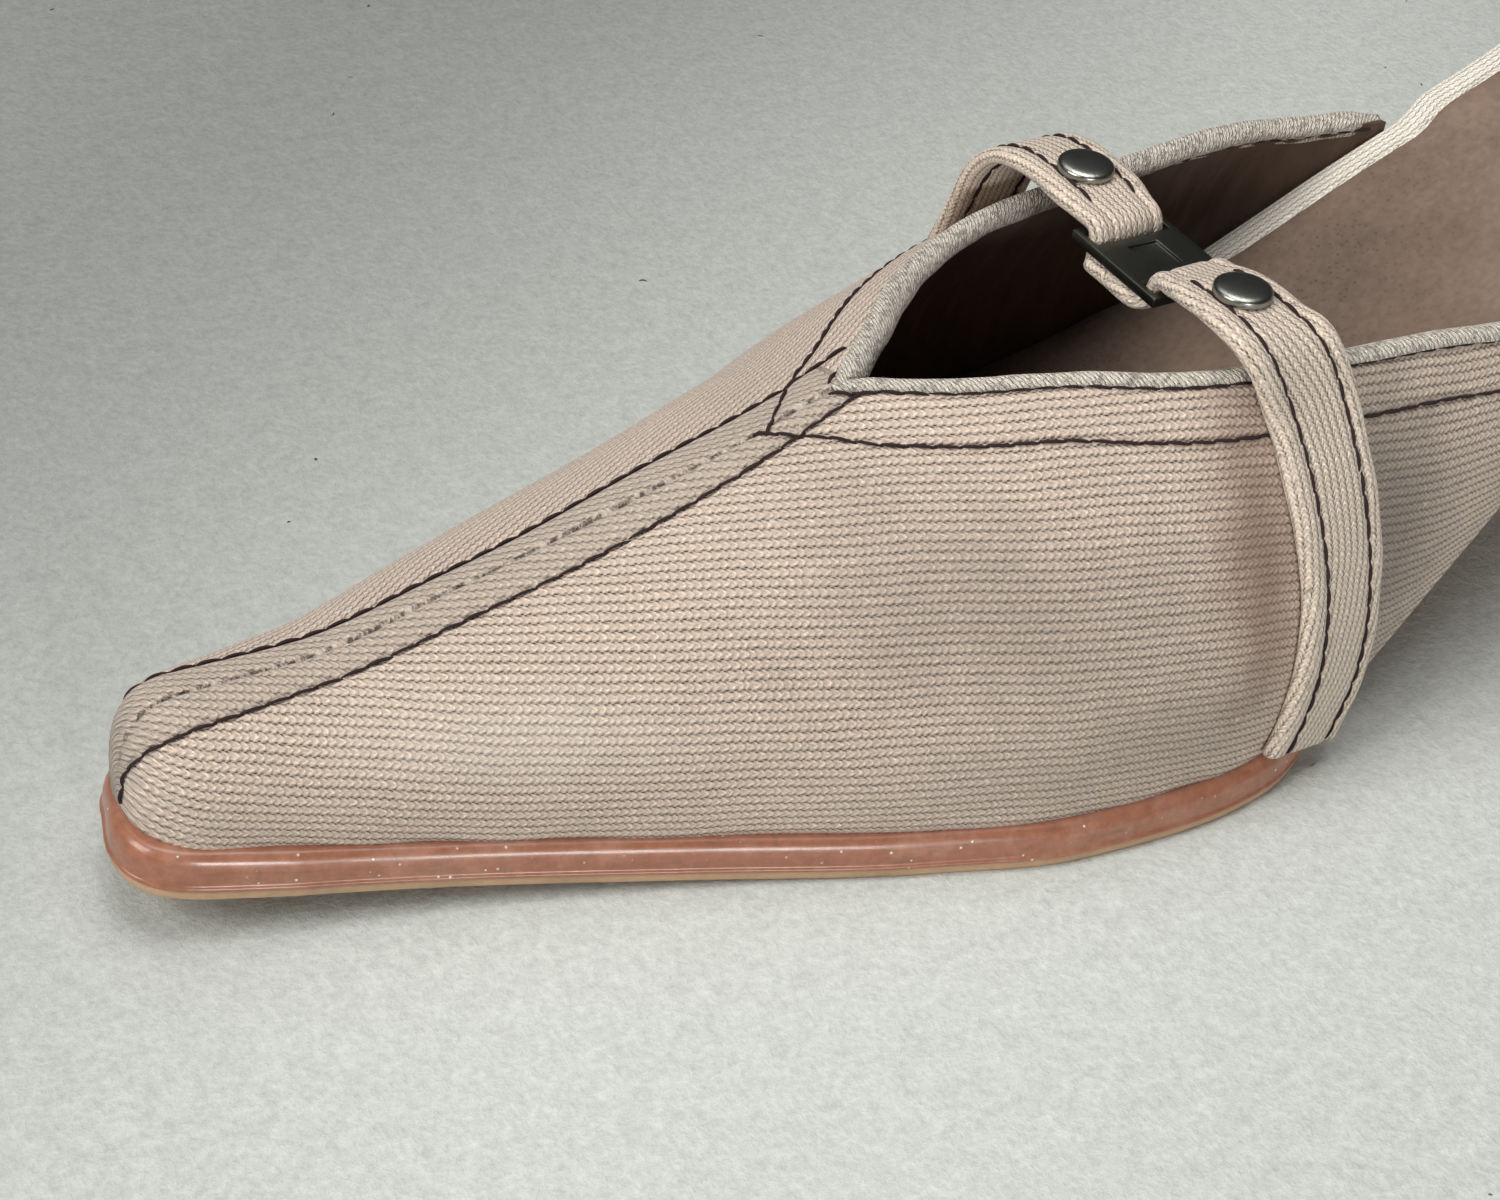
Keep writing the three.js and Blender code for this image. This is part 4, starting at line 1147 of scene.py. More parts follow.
class MULE_OT_bead(bpy.types.Operator):
    """Build the bound edge that runs round the topline"""

    bl_idname = "mule.bead"
    bl_label = "Bound edge"

    def execute(self, context):
        cloth = millimetres(context.scene.mule_cloth)
        form, skins = outer_skins()
        height, width, wall = cloth["bead_height"], cloth["bead_width"], form.wall
        outline = np.array([
            (-0.1, -width + 0.15), (0.8 * height, -width * 0.72), (1.2 * height, -width * 0.15),
            (1.15 * height, 0.55), (0.34, 1.1), (-0.5, 1.34), (-1.2, 1.22), (-1.95, 0.74),
            (-wall - 0.42, 0.12), (-wall - 0.24, -0.5), (-wall + 0.1, -0.8),
            (-wall - 0.16, -0.98), (-wall - 0.2, -1.28), (-wall + 0.1, -1.42), (-wall + 0.7, -1.1),
        ])
        outline = np.concatenate([outline, outline[:1]])
        ring = even(smooth_path(even(outline, 0.12)[0], 3), 0.2)[0][:-1]
        gather = Gather()
        for side, skin in skins.items():
            path, out, up = crossing(skin, skin.inner_row, 0.08)
            out[:2] = unit(out[:2] * [1, 0.2, 1])
            joined, stops = even(np.concatenate([path, out, up], axis=1), 0.45)
            path, out, up = joined[:, :3], unit(joined[:, 3:6]), unit(joined[:, 6:])
            path = smooth_path(path, 3)
            plump = 1 + 0.04 * np.sin(stops / 1.7) * np.sin(stops / 5.3)
            thin = lerp(0.9, 1, ease(stops, 0, 3)) * lerp(0.45, 1, ease(stops[-1] - stops, 0, 5))
            thin = thin * (1 + (0.3 if side == FAR else 0) * (1 - ease(stops, 12, 34)))
            grid = sweep(path, out, up, ring[None] * (plump * thin)[:, None, None])
            around = np.arange(len(ring)) * 0.2
            uv = pairs(around[None] + 0 * stops[:, None], stops[:, None] + around[None] * 0.5)
            gather.add(grid, cloth=uv, around=True, flip=side == NEAR)
            gather.close(grid[0], flip=side == FAR)
            gather.close(grid[-1], flip=side == NEAR)
        gather.build("topline_bead", [finish_of("bead")])
        return {"FINISHED"}


class MULE_OT_upper_stitches(bpy.types.Operator):
    """Sew the rows beside the centre seam and below the topline"""

    bl_idname = "mule.upper_stitches"
    bl_label = "Upper's stitches"

    def execute(self, context):
        cloth = millimetres(context.scene.mule_cloth)
        form, skins = outer_skins()
        gather = Gather()
        pitch, thick = cloth["stitch_length"], cloth["thread"] * 0.86
        for side, skin in skins.items():
            skin.raise_by(relief(skin, cloth))
            seed = 10 + side
            path, normals, _ = crossing(skin, skin.row, 0.0)
            keep = (path[:, 0] < form.throat - 0.6) & (path[:, 0] > ROW_START[side])
            path, normals = onward(path[keep], normals[keep], 4.4, skins)
            add_stitches(gather, path, normals, pitch, thick, seed=seed)
            for level in ("inner_row", "outer_row"):
                path, normals, _ = crossing(skin, getattr(skin, level), cloth[level])
                keep = path[:, 0] < form.upper_end - 1.5
                path, normals = path[keep], normals[keep]
                if level == "outer_row":
                    more = 2.4 if side == FAR else 1.1
                    path, normals = onward(path[::-1], normals[::-1], more, skins)
                add_stitches(gather, path, normals, pitch, thick, seed=seed + 5)
            inner = Skin(form, side, form.wall, upper_stations(form, 0.55), np.linspace(0, 10, 14), 16)
            path, normals, _ = crossing(inner, inner.total - inner.along, 0.75)
            keep = (path[:, 0] < form.upper_end - 2) & (path[:, 0] > form.throat + 4)
            add_stitches(gather, path[keep], -normals[keep], pitch, thick, seed=seed + 9)
        gather.build("upper_stitches", [finish_of("thread")], weld=0.001)
        return {"FINISHED"}


# ---------------------------------------------------------------- strap, plate and rivets


LEGS = (  # side, leave, low, high, lift
    (NEAR, 0.9, 0.5, 0.5, 1.2),
    (FAR, 0.7, 0.5, 0.52, 0.6),
)
LEG_LINES = {
    NEAR: ((0, 0.86), (0.2, 1.16), (0.42, 1.12), (0.75, 0.87), (1, 0.6)),
    FAR: ((0, -0.1), (1, -0.1)),
}
CAD_GAP = 0.3


class Strap:
    """The strap's path over the foot, its seats under the rivets and the plate's height."""

    def __init__(self):
        self.form = last()
        for name, value in millimetres(bpy.context.scene.mule_strap).items():
            setattr(self, name, value)
        tops = [float(self.form.toplines[side](self.at)) for side in (NEAR, FAR)]
        self.plate_top = max(tops) + self.plate_lift
        self.over_bar = self.plate_top + CAD_GAP + self.thick / 2
        self.under_web = self.plate_top - self.plate_thick - CAD_GAP - self.thick / 2

    def wall(self, x, z, side):
        """The outer wall's point at x and z, its outward normal and the direction along the foot of
        the wall a little further forward, since the stiff strap doesn't follow every bend."""
        form = self.form
        share_at = lambda x, z: np.clip((z - form.base(x)) / (form.crest(x) - form.base(x)), 0, 1)
        point = form.skin(x, share_at(x, z), side)
        fore = form.skin(x - 2, share_at(x - 2, z), side) - form.skin(x - 6, share_at(x - 6, z), side)
        up = form.skin(x, share_at(x, z + 1), side) - point
        normal = unit(np.cross(fore, up))
        normal = normal * np.where(normal[..., 1:2] * side < 0, -1, 1)
        return point, normal, unit(fore)

    def half_path(self, side, leave, low, high, lift):
        """One half of the strap: on the wall, a Bezier bow in the air, flat under the rivet, down
        through the slot and under the web. Gives points, directions across and half widths."""
        form = self.form
        sweep_at = curve(*np.array(LEG_LINES[side]).T)
        foot = float(form.base(self.at))
        leave_at = lerp(foot, float(form.toplines[side](self.at)), leave)
        z = np.linspace(foot, leave_at, 40)
        x = self.at + self.leg_sweep * sweep_at((z - foot) / (self.plate_top - foot))
        point, normal, fore = self.wall(x, z, side)
        on_wall = point + normal * (self.thick / 2 + 0.12)
        rise = unit(on_wall[-1] - on_wall[-6])
        rivet = self.plate_shift + side * self.rivet_spacing / 2
        landing = np.array([self.at, rivet + side * (self.cap_width / 2 + 0.3), self.over_bar + lift])
        reach = np.linalg.norm(landing - on_wall[-1])
        t = np.linspace(0, 1, 30)[1:, None]
        handle_a = on_wall[-1] + rise * low * reach
        handle_b = landing + np.array([0, side * high * reach, 0])
        bow = ((1 - t) ** 3 * on_wall[-1] + 3 * (1 - t) ** 2 * t * handle_a
               + 3 * (1 - t) * t**2 * handle_b + t**3 * landing)
        slot = side * (self.plate_length / 2 - self.end_bar - self.slot_length / 2)
        bend = (self.over_bar - self.under_web) / 2 * 0.72
        turn = np.linspace(0, np.pi / 2, 8)
        over = np.stack([slot + side * bend + side * bend * np.cos(np.pi / 2 + turn),
                         self.over_bar - bend + bend * np.sin(np.pi / 2 + turn)], -1)
        under = np.stack([slot - side * bend + side * bend * np.cos(-turn),
                          self.under_web + bend + bend * np.sin(-turn)], -1)
        thread = np.concatenate([[(slot + side * (bend + self.end_bar), self.over_bar)], over, under])
        threaded = np.stack([np.full(len(thread), self.at), self.plate_shift + thread[:, 0], thread[:, 1]], -1)
        seat = np.array([[self.at, rivet - step * side * self.cap_width / 2, self.over_bar + lift]
                         for step in (0, 1)])
        across = np.concatenate([fore, lerp(fore[-1], np.array([1.0, 0, 0]), t),
                                 np.tile([1.0, 0, 0], (2 + len(threaded), 1))])
        path = np.concatenate([on_wall, bow, seat, threaded])
        path[0, 2] = foot - 0.3
        to_slot = np.linalg.norm(path - threaded[len(threaded) // 2], axis=1)
        half = lerp(self.slot_width / 2 - 0.15, self.width / 2, ease(to_slot, 1.2, 6.0))
        half = half + (0.75 if side == NEAR else 0.2) * (1 - ease(path[:, 2], foot + 4, foot + 24))
        half[-3:] = self.plate_width / 2 + 0.5
        free = ease(to_slot, 2.5, 6.0)
        free[-6:] = 0
        return np.concatenate([path, across, half[:, None], free[:, None]], axis=1)

    def path(self):
        """The whole strap in even steps: points, across, up, half widths and lengths."""
        halves = [self.half_path(*leg) for leg in LEGS]
        joined = np.concatenate([halves[0], halves[1][::-1]])
        joined, stops = even(joined, 0.6)
        points = smooth_path(joined[:, :3], 2)
        points = lerp(points, smooth_path(points, 50), smooth_path(joined[:, 7:8], 8))
        across = smooth_path(unit(joined[:, 3:6]), 40)
        along = unit(np.gradient(points, axis=0))
        up = unit(np.cross(along, across))
        across = unit(np.cross(up, along))
        run = np.r_[0, np.cumsum(np.linalg.norm(np.diff(points, axis=0), axis=1))]
        half = smooth_path(joined[:, 6:7], 3)[:, 0]
        return points, across, up, half, run

    def rivets(self):
        """The rivets' places on the strap, with the strap's own directions there."""
        points, across, up, _, _ = self.path()
        found = []
        for side, _, _, _, lift in LEGS:
            place = np.array([self.at, self.plate_shift + side * self.rivet_spacing / 2,
                              self.over_bar + lift])
            k = np.linalg.norm(points - place, axis=1).argmin()
            normal = up[k] * np.sign(up[k, 2])
            found.append((points[k], across[k], np.cross(normal, across[k]), normal))
        return found


ROWS = (-0.5, 0.6)


class MULE_OT_strap(bpy.types.Operator):
    """Build the folded twill strap, threaded through the plate"""

    bl_idname = "mule.strap"
    bl_label = "Strap"

    def execute(self, context):
        strap = Strap()
        points, across, up, half, run = strap.path()
        angle = np.linspace(0, 2 * np.pi, 56, endpoint=False)
        w = np.sign(np.cos(angle)) * np.abs(np.cos(angle)) ** (2 / 7)
        t = np.sign(np.sin(angle)) * np.abs(np.sin(angle)) ** (2 / 2.6)
        outline = np.stack([w, t], -1)
        outline = np.concatenate([outline, outline[:1]])
        outline = even(outline * np.array([strap.width / 2, strap.thick / 2]), 0.3)[0][:-1]
        w, t = outline[:, 0] / (strap.width / 2), outline[:, 1] / (strap.thick / 2)
        trough = sum(bump_of((w - row) * strap.width / 2, 0.5) for row in ROWS)
        puff = bump_of((np.abs(w) - 0.84) * strap.width / 2, 0.9)
        pucker = 0.5 + 0.5 * np.cos(2 * np.pi * run / 2.65)
        thick = strap.thick / 2 * t[None] * (
            1 - trough[None] * (0.2 + 0.06 * pucker[:, None]) + 0.14 * puff[None])
        thick = thick * (1 + 0.04 * np.sin(run[:, None] / 1.3 + 3 * w[None]))
        fringe = 0.012 * np.sin(run[:, None] / 3.7 + w[None]) + 0.01 * np.sin(run[:, None] / 1.4 - 2 * w[None])
        wide = half[:, None] * w[None] * (1 + fringe)
        profile = np.stack([wide, thick], -1)
        grid = sweep(points, across, up, profile)
        around = np.r_[0, np.cumsum(np.linalg.norm(np.diff(outline, axis=0), axis=1))]
        gather = Gather()
        skew = np.cumsum(np.gradient(run) * lerp(-0.2, 0.22, ease(run, 15, 55)))
        skew = skew * np.where(run < run[-1] / 2, 1, 0.4)
        marks = pairs(np.abs(wide + strap.width * 0.03), thick)
        gather.add(grid, cloth=pairs(run[:, None], around[None] + skew[:, None]), marks=marks, around=True)
        gather.close(grid[0], flip=True)
        gather.close(grid[-1])
        gather.build("strap_ribbon", [finish_of("strap")], ["strap"])
        sewing = Gather()
        cloth = millimetres(context.scene.mule_cloth)
        sewn = half > strap.width / 2 - 0.5
        sewn[np.abs(points[:, 1] - strap.plate_shift) < strap.plate_length / 2 - 1] = False
        middle = len(half) // 2
        for number, legs in enumerate((np.arange(len(half)) < middle, np.arange(len(half)) >= middle)):
            keep = sewn & legs
            keep &= np.r_[np.diff(keep.astype(int)), 0] >= -1
            index = np.nonzero(keep)[0]
            stretch = index[0] + np.arange(len(index))
            index = index[index == stretch] if number == 0 else index[-np.sum(np.diff(index) == 1) - 1:]
            for face in (1, -1):
                for edge in ROWS:
                    reach = (half * edge)[index, None]
                    row = points[index] + across[index] * reach + up[index] * face * strap.thick / 2 * 0.84
                    add_stitches(sewing, row, up[index] * face, cloth["stitch_length"],
                                 cloth["thread"] * 0.85, lift=-0.02, seed=int(40 + number * 4 + face + 9 * edge))
        sewing.build("strap_stitches", [finish_of("thread")], weld=0.001)
        return {"FINISHED"}


class MULE_OT_plate(bpy.types.Operator):
    """Build the slotted metal plate with a plain sunk panel"""

    bl_idname = "mule.plate"
    bl_label = "Plate"

    def execute(self, context):
        strap = Strap()
        half_w, half_l = strap.plate_width / 2, strap.plate_length / 2
        slot_w = strap.slot_width / 2
        slot_out = half_l - strap.end_bar
        slot_in = slot_out - strap.slot_length
        panel_w, panel_l, depth = strap.panel_width / 2, strap.panel_length / 2, 0.35
        xs = np.array([-half_w, -slot_w, -panel_w, panel_w, slot_w, half_w])
        ys = np.array([-half_l, -slot_out, -slot_in, -panel_l, panel_l, slot_in, slot_out, half_l])
        shape = bmesh.new()
        top, low = 0.0, -strap.plate_thick

        def solid(i, j):
            """Whether the cell between two breaks each way is metal."""
            return 0 <= i < 5 and 0 <= j < 7 and not (j in (1, 5) and 1 <= i <= 3)

        def corner(x, y, z, made={}):
            key = (round(x, 4), round(y, 4), round(z, 4))
            if key not in made:
                made[key] = shape.verts.new((
                    (strap.at + x) * MM, (strap.plate_shift + y) * MM, (strap.plate_top + z) * MM))
            return made[key]

        def face(*points):
            shape.faces.new([corner(*p) for p in points])

        for i in range(5):
            for j in range(7):
                if not solid(i, j):
                    continue
                x0, x1, y0, y1 = xs[i], xs[i + 1], ys[j], ys[j + 1]
                z = top - depth if (i, j) == (2, 3) else top
                face((x0, y0, z), (x1, y0, z), (x1, y1, z), (x0, y1, z))
                face((x0, y1, low), (x1, y1, low), (x1, y0, low), (x0, y0, low))
                if (i, j) == (2, 3):
                    ring = [(x0, y0), (x1, y0), (x1, y1), (x0, y1)]
                    for (ax, ay), (bx, by) in zip(ring, ring[1:] + ring[:1]):
                        face((ax, ay, z), (ax, ay, top), (bx, by, top), (bx, by, z))
                for di, dj, (ax, ay, bx, by) in (
                    (-1, 0, (x0, y1, x0, y0)), (1, 0, (x1, y0, x1, y1)),
                    (0, -1, (x0, y0, x1, y0)), (0, 1, (x1, y1, x0, y1)),
                ):
                    if not solid(i + di, j + dj):
                        face((ax, ay, low), (bx, by, low), (bx, by, top), (ax, ay, top))
        mesh = bpy.data.meshes.new("plate_metal")
        bmesh.ops.recalc_face_normals(shape, faces=shape.faces)
        shape.to_mesh(mesh)
        shape.free()
        piece = bpy.data.objects.new("plate_metal", mesh)
        mesh.materials.append(finish_of("plate"))
        bpy.context.scene.collection.objects.link(piece)
        bevel = piece.modifiers.new("rounded edges", "BEVEL")
        bevel.width, bevel.segments, bevel.limit_method = 0.16 * MM, 4, "ANGLE"
        mesh.polygons.foreach_set("use_smooth", np.ones(len(mesh.polygons), bool))
        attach(piece, "root")
        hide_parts("slider_plate")
        return {"FINISHED"}


class MULE_OT_rivets(bpy.types.Operator):
    """Build the two domed rivets"""

    bl_idname = "mule.rivets"
    bl_label = "Rivets"

    def execute(self, context):
        strap = Strap()
        radius, height = strap.cap_width / 2, strap.cap_height
        turn = np.linspace(0, np.pi / 2, 16)
        dome = np.stack([radius * np.cos(turn), 0.3 * height + 0.7 * height * np.sin(turn) ** 0.62], -1)
        rolled = np.array([(radius * 0.4, -0.25), (radius * 0.86, -0.22), (radius * 0.97, -0.05),
                           (radius * 1.0, 0.12), (radius * 1.003, 0.25)])
        profile = np.concatenate([[(0, -0.25)], rolled, dome])
        profile[-1, 0] = 0
        low = np.array([(0, 0.0), (2.2, 0.0), (2.2, 0.3), (1.9, 0.5), (0, 0.5)])
        angle = np.linspace(0, 2 * np.pi, 48, endpoint=False)
        for name, seat in zip(("rivet_near", "rivet_far"), strap.rivets()):
            place, ahead, sideways, normal = seat
            gather = Gather()
            for outline, base in ((profile, strap.thick / 2 + 0.08), (low, -strap.thick / 2 - 0.42)):
                spoke = np.cos(angle)[:, None] * ahead + np.sin(angle)[:, None] * sideways
                ring = place + outline[:, :1, None] * spoke + (base + outline[:, 1:, None]) * normal
                gather.add(ring, around=True, flip=True)
            gather.build(name + "_cap", [finish_of("cap")], [name])
        return {"FINISHED"}


# ---------------------------------------------------------------- sole, footbed and heel


def outline(form, grow, front, back, nose=2.5, steps=260):
    """A closed outline from the tip round the far side to the back and home: x follows a half
    cosine so that both ends are round, and y is the half width let out by grow."""
    x = lerp(front, back, (1 - np.cos(np.linspace(0, np.pi, steps))) / 2)
    half = form.half(x, grow(x), nose)
    half[[0, -1]] = 0
    far = np.stack([x, form.centre(x) + half], -1)
    near = np.stack([x, form.centre(x) - half], -1)
    return np.concatenate([far, near[-2:0:-1]])


def layer(form, ring, height, rows, flip=False):
    """A sole layer's edge from an outline: each row of the edge profile lies an inset inside it along its normal
    and stands up by the row's height over the underside."""
    run = np.r_[0, np.cumsum(np.linalg.norm(np.diff(ring, axis=0), axis=1))]
    tangent = np.roll(ring, -1, axis=0) - np.roll(ring, 1, axis=0)
    tangent = unit(smooth_ring(tangent, 1))
    inward = np.stack([tangent[:, 1], -tangent[:, 0]], -1)
    rings = []
    for inset, up in rows:
        place = ring + inward * inset
        swollen = 1 + 0.14 * (1 - ease(place[:, 0], -108, -82)) * (height > 1)
        z = form.underside(place[:, 0]) + height + up * swollen
        rings.append(np.concatenate([place, z[:, None]], axis=1))
    edge = np.stack(rings, axis=1)
    across = np.r_[0, np.cumsum(np.linalg.norm(np.diff(edge, axis=1), axis=-1).mean(0))]
    return edge, pairs(run[:, None], across[None])


def smooth_ring(values, rounds):
    """Values round a closed line, each averaged with its neighbours."""
    for _ in range(rounds):
        values = values * 0.5 + (np.roll(values, 1, axis=0) + np.roll(values, -1, axis=0)) * 0.25
    return values


def ladder(ring, columns, z_of=None):
    """A face across a closed outline: rungs between its far and near halves, each cut in
    columns."""
    half = len(ring) // 2 + 1
    far, near = ring[:half], np.concatenate([ring[:1], ring[half - 1:][::-1]])[:half]
    t = np.linspace(0, 1, columns)[None, :, None]
    grid = lerp(far[:, None], near[:, None], t)
    if z_of is not None:
        grid[..., 2] = z_of(grid)
    return grid


def add_layer(gather, form, ring, height, rows, slot=0, top=True, bottom=True, columns=8):
    """Adds a layer's edge and its two faces."""
    edge, uv = layer(form, ring, height, rows)
    closed = np.concatenate([edge, edge[:1]])
    uv_closed = np.concatenate([uv, uv[:1] + np.array([uv[-1, 0, 0] + 0.5, 0])])
    gather.add(closed, cloth=uv_closed, slot=slot, flip=False)
    for wanted, column, flip in ((bottom, 0, True), (top, -1, False)):
        if wanted:
            face = ladder(edge[:, column], columns)
            rim = face[:, [0, -1]].copy()
            lift = edge[:, column, 2] - form.underside(edge[:, column, 0])
            half = face.shape[0]
            face[..., 2] = form.underside(face[..., 0]) + lift[:half, None]
            face[:, [0, -1]] = rim
            gather.add(face, cloth=face[..., :2], slot=slot, flip=flip)


class MULE_OT_sole(bpy.types.Operator):
    """Build the leather sole with its painted edge and the thin floor side"""

    bl_idname = "mule.sole"
    bl_label = "Sole"

    def execute(self, context):
        form = last()

        def grow(x):
            """The ledge of the solid sole, tucked in further where the cloth turns under it."""
            return form.sole_grow(x) - 2.1 * ease(x, 9, 21) * (1 - ease(x, 60, 67))

        ring = outline(form, grow, -form.toe_length - form.tip_ledge, form.rear_length - 0.4, 3.3)
        near = ease(form.centre(ring[:, 0]) - ring[:, 1], -4, 2)
        ring[:, 1] -= 0.55 * (1 - ease(ring[:, 0], -109, -90))
        ring[:, 0] -= 1.15 * near * (1 - ease(ring[:, 0], -111, -97))
        tall = form.sole_thick - 0.28
        rows = [(0.9, 0.0), (0.4, 0.02), (0.14, 0.1), (0.02, 0.24), (0, 0.4), (0.05, 0.52),
                (0.17, 0.62), (0.27, 0.72), (0.31, 0.95), (0.33, 1.4), (0.4, 2.0), (0.55, 2.6),
                (0.8, 3.1), (1.15, 3.5), (1.6, tall - 0.06), (2.1, tall), (3.4, tall)]
        gather = Gather()
        add_layer(gather, form, ring, form.sole_under + 0.28, rows)
        gather.build("sole_leather", [finish_of("edge")], ["sole"])
        floor_side = Gather()
        rows = [(0.75, 0.0), (0.42, 0.06), (0.3, 0.3), (0.28, 0.8), (0.4, 1.19)]
        add_layer(floor_side, form, ring, 0.0, rows)
        floor_side.build("tread_leather", [finish_of("tread")], ["outsole"])
        return {"FINISHED"}


class MULE_OT_footbed(bpy.types.Operator):
    """Build the footbed with its wrapped rim and the sock on it"""

    bl_idname = "mule.footbed"
    bl_label = "Footbed"

    def execute(self, context):
        form = last()
        inset = lambda x: (form.wall + 0.15) * (1 - ease(x, form.upper_end + 0.3, form.upper_end + 6))
        ring = outline(form, lambda x: -inset(x), -form.toe_length + 2.1, form.rear_length)
        tall = form.insole_thick
        rows = [(0.5, -0.1), (0.1, 0.25), (0, 0.8), (0, 1.7), (0.12, 2.3), (0.4, 2.75), (0.8, tall),
                (1.5, tall + 0.1), (2.3, tall + 0.12), (3.3, tall + 0.05), (3.6, tall - 0.2)]
        gather = Gather()
        add_layer(gather, form, ring, form.seat, rows)
        gather.build("footbed_rim", [finish_of("rim")], ["insole"])

        def rim(x):
            """The rim that shows beside the sock: none in the toe, full behind the strap."""
            return lerp(-0.12, form.rim_width + 1.2, ease(x, 30, 47))

        inner = outline(
            form,
            lambda x: -inset(x) - rim(x),
            -form.toe_length + 2.0,
            form.rear_length - form.rim_width - 1.2,
        )
        rows = [(0.1, -1.6), (0, 0.1), (0.02, 0.3), (0.14, 0.5), (0.45, 0.62)]
        sock = Gather()
        add_layer(sock, form, inner, form.seat + tall, rows, columns=30)
        sock.build("sock_leather", [finish_of("sock")], ["sock"])
        return {"FINISHED"}


HEEL_ROWS = (  # down, back, length, width
    (0, 0, 1, 0.87),
    (0.1, 0.02, 0.86, 0.74),
    (0.25, 0.05, 0.64, 0.56),
    (0.5, 0.08, 0.42, 0.38),
    (0.78, 0.11, 0.33, 0.28),
    (1, 0.12, 0.31, 0.2553),
)


class MULE_OT_heel(bpy.types.Operator):
    """Build the wrapped heel and its wearing tip"""

    bl_idname = "mule.heel"
    bl_label = "Heel"

    def execute(self, context):
        form = last()
        breast, foot = 40.0, 4.65
        back = form.rear_length - 0.9
        table = np.array(HEEL_ROWS)
        down = np.linspace(0, 1, 60)
        setback, long, wide = (curve(table[:, 0], table[:, i])(down)[:, None] for i in (1, 2, 3))
        angle = np.linspace(0, 2 * np.pi, 72, endpoint=False)[None]
        bend = lambda value: np.sign(value) * np.abs(value) ** 0.8
        half = long * breast / 2
        middle = back - setback * breast / 2 - half
        x = middle + half * bend(np.cos(angle))
        y = form.centre(x) + wide * form.seat_width / 2 * bend(np.sin(angle))
        z = lerp(form.underside(x) + 0.2, foot, down[:, None])
        grid = np.stack([x, y, z], -1)
        gather = Gather()
        uv = pairs(angle * 8 + 0 * z, z)
        gather.add(grid, cloth=uv, around=True)
        gather.close(grid[0], flip=True)
        gather.close(grid[-1])
        gather.build("heel_wrap", [finish_of("heel")], ["heel"])
        ring = grid[-1]
        centre = ring.mean(0)
        levels = np.array([(4.68, 0.9), (4.62, 0.985), (4.4, 1.0), (0.8, 1.0), (0.25, 0.985), (0, 0.94)])
        block = np.stack([
            np.concatenate([lerp(centre[:2], ring[:, :2], s), np.full((len(ring), 1), h)], axis=1)
            for h, s in levels])
        tip = Gather()
        tip.add(block, around=True)
        tip.close(block[0], flip=True)
        tip.close(block[-1])
        tip.build("tip_block", [finish_of("rubber")], ["top_piece"])
        return {"FINISHED"}


# ---------------------------------------------------------------- stage


class StageSizes(bpy.types.PropertyGroup):
    """Camera and lights"""

    azimuth: bpy.props.FloatProperty(
        name="Azimuth", description="Heading of the view", default=np.radians(35.35), subtype="ANGLE"
    )
    elevation: bpy.props.FloatProperty(
        name="Elevation", description="Height of the view", default=np.radians(38.83), subtype="ANGLE"
    )
    roll: bpy.props.FloatProperty(
        name="Roll", description="Tilt of the frame", default=np.radians(7.95), subtype="ANGLE"
    )
    distance: length("Distance", "From the camera to the aim", 283.08)
    lens: bpy.props.FloatProperty(
        name="Lens", description="Focal length in millimetres", default=63.2
    )
    aim: bpy.props.FloatVectorProperty(
        name="Aim", description="Where the camera looks", default=(-0.0404, -0.00392, 0.018),
        subtype="TRANSLATION",
    )


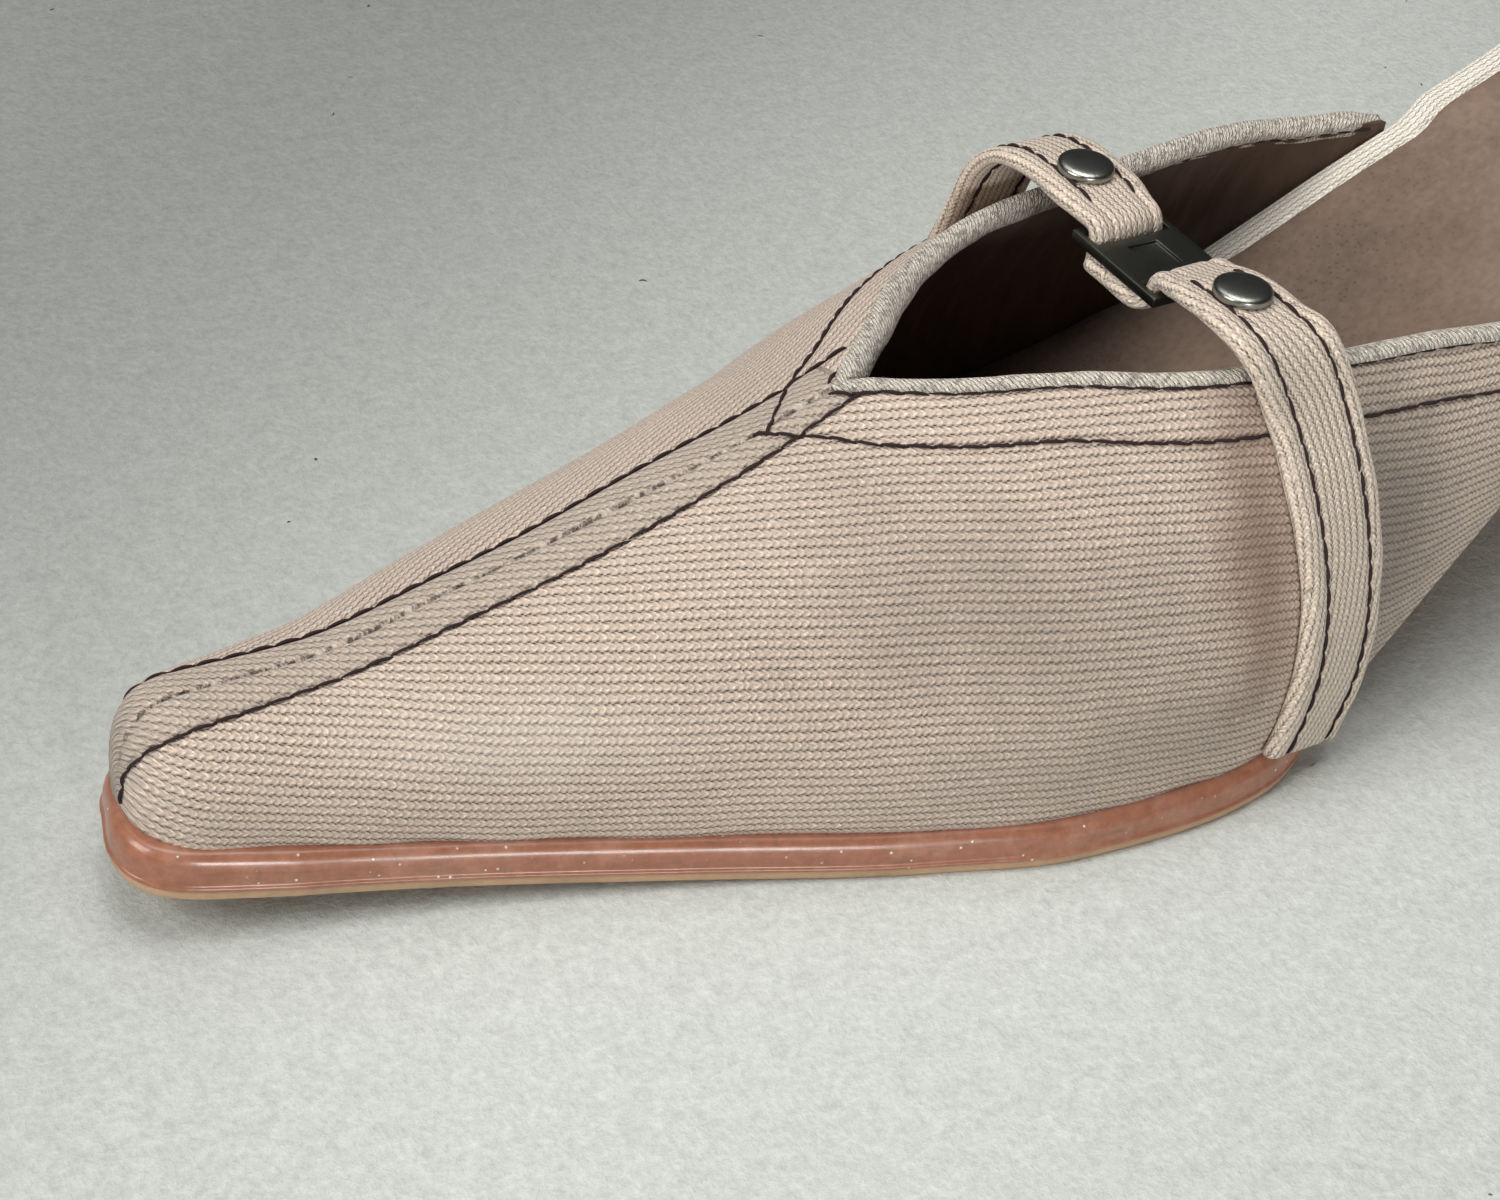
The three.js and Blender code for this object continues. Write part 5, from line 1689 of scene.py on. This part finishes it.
class MULE_OT_stage(bpy.types.Operator):
    """Set up the floor, the camera and the studio light"""

    bl_idname = "mule.stage"
    bl_label = "Stage"

    def execute(self, context):
        self.camera(context)
        reach = 1.6
        mesh = bpy.data.meshes.new("floor")
        mesh.from_pydata([(-reach, -reach, 0), (reach, -reach, 0), (reach, reach, 0), (-reach, reach, 0)],
                         [], [(0, 1, 2, 3)])
        mesh.materials.append(finish_of("paper"))
        floor = bpy.data.objects.new("floor", mesh)
        context.scene.collection.objects.link(floor)
        self.fibres(context)
        lights = (  # name, place, aim, size, energy, colour
            ("left", (-0.60, 0.0, 0.50), (-0.03, 0, 0), 0.40, 3.3, (1.0, 0.985, 0.96)),
            ("above", (0.0, 0.02, 0.80), (-0.03, 0, 0), 0.50, 3.1, (1.0, 0.985, 0.96)),
            ("front", (-0.16, -0.60, 0.16), (-0.03, 0, 0.03), 0.12, 1.25, (1.0, 0.99, 0.97)),
            ("back", (-0.05, 0.32, 0.60), (-0.03, 0, 0), 0.30, 0.5, (1.0, 0.97, 0.93)),
        )
        for name, place, aim, size, energy, tone in lights:
            lamp = bpy.data.lights.new(name, "AREA")
            lamp.size, lamp.energy, lamp.color = size, energy, tone
            light = bpy.data.objects.new(name, lamp)
            light.matrix_world = Matrix.Translation(place) @ (
                Vector(aim) - Vector(place)).to_track_quat("-Z", "Y").to_matrix().to_4x4()
            context.scene.collection.objects.link(light)
        world = bpy.data.worlds.new("studio")
        world.use_nodes = True
        background = world.node_tree.nodes["Background"]
        background.inputs["Color"].default_value = (0.86, 0.95, 1.0, 1)
        background.inputs["Strength"].default_value = 0.04
        context.scene.world = world
        context.scene.view_settings.view_transform = "Standard"
        return {"FINISHED"}

    @staticmethod
    def fibres(context):
        """Dark fibres of the paper: short arcs of a circle, each a thin three-sided tube."""
        rng = np.random.default_rng(5)
        count, steps = 90, 6
        place = np.stack([rng.uniform(-260, 240, count), rng.uniform(-190, 260, count)], -1)
        heading = rng.uniform(0, 2 * np.pi, count)[:, None]
        t = np.linspace(-1, 1, steps)[None]
        reach = rng.uniform(0.25, 0.8, count)[:, None]
        bend = heading + t * rng.normal(0, 1.1, count)[:, None]
        step = np.stack([np.cos(bend), np.sin(bend)], -1) * (reach / steps * 2)[..., None]
        path = place[:, None] + np.cumsum(step, axis=1)
        thick = rng.uniform(0.05, 0.11, count)[:, None] * (1 - 0.7 * t**2)
        angle = np.arange(3) * 2 * np.pi / 3
        sideways = np.stack([-np.sin(bend), np.cos(bend)], -1)[:, :, None] * np.cos(angle)[:, None]
        grid = np.concatenate([
            path[:, :, None] + sideways * thick[..., None, None],
            0.05 + (np.sin(angle) * thick[..., None] + thick[..., None])[..., None],
        ], axis=-1)
        shader = Shader("fibre")
        material = shader.finish((0.045, 0.05, 0.06), shader.noise(shader.place(), 300.0) * 0.3 + 0.6)
        gather = Gather()
        for tube in grid:
            gather.add(tube, around=True, flip=True)
        piece = gather.build("paper_fibres", [material], stage=True, weld=0.0)
        return piece

    @staticmethod
    def camera(context):
        """The camera looks down at the shoe from its near side, turned about its own axis."""
        stage = context.scene.mule_stage
        a, e, roll = stage.azimuth, stage.elevation, stage.roll
        look = Vector((np.sin(a) * np.cos(e), np.cos(a) * np.cos(e), -np.sin(e)))
        right = look.cross(Vector((0, 0, 1))).normalized()
        up = right.cross(look)
        turned = right * np.cos(roll) + up * np.sin(roll)
        upright = up * np.cos(roll) - right * np.sin(roll)
        data = bpy.data.cameras.new("camera")
        data.lens, data.sensor_width, data.clip_start = stage.lens, 36, 0.01
        camera = bpy.data.objects.new("camera", data)
        place = Vector(stage.aim) - look * stage.distance
        turn = Matrix((turned, upright, -look)).transposed().to_4x4()
        camera.matrix_world = Matrix.Translation(place) @ turn
        context.scene.collection.objects.link(camera)
        context.scene.camera = camera


# ---------------------------------------------------------------- panel and registration


OPERATORS = (
    MULE_OT_upper,
    MULE_OT_bead,
    MULE_OT_upper_stitches,
    MULE_OT_strap,
    MULE_OT_plate,
    MULE_OT_rivets,
    MULE_OT_sole,
    MULE_OT_footbed,
    MULE_OT_heel,
    MULE_OT_stage,
)
GROUPS = {
    "mule_last": LastSizes,
    "mule_cloth": ClothSizes,
    "mule_strap": StrapSizes,
    "mule_colours": Colours,
    "mule_stage": StageSizes,
}


class MULE_PT_panel(bpy.types.Panel):
    """Lists the sizes and the pieces"""

    bl_idname = "MULE_PT_panel"
    bl_label = "Mule"
    bl_space_type = "VIEW_3D"
    bl_region_type = "UI"
    bl_category = "Mule"

    def draw(self, context):
        for group in GROUPS:
            box = self.layout.box()
            for name in getattr(context.scene, group).__annotations__:
                box.prop(getattr(context.scene, group), name)
        for operator in OPERATORS:
            self.layout.operator(operator.bl_idname)


CLASSES = (*GROUPS.values(), *OPERATORS, MULE_PT_panel)


def register():
    for item in CLASSES:
        bpy.utils.register_class(item)
    for name, group in GROUPS.items():
        setattr(bpy.types.Scene, name, bpy.props.PointerProperty(type=group))


def unregister():
    for name in GROUPS:
        delattr(bpy.types.Scene, name)
    for item in reversed(CLASSES):
        bpy.utils.unregister_class(item)


def main():
    """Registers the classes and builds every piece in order."""
    register()
    for operator in OPERATORS:
        group, name = operator.bl_idname.split(".")
        result = getattr(getattr(bpy.ops, group), name)()
        if result != {"FINISHED"}:
            raise RuntimeError(f"{operator.bl_label} was not built")


if __name__ == "__main__":
    main()
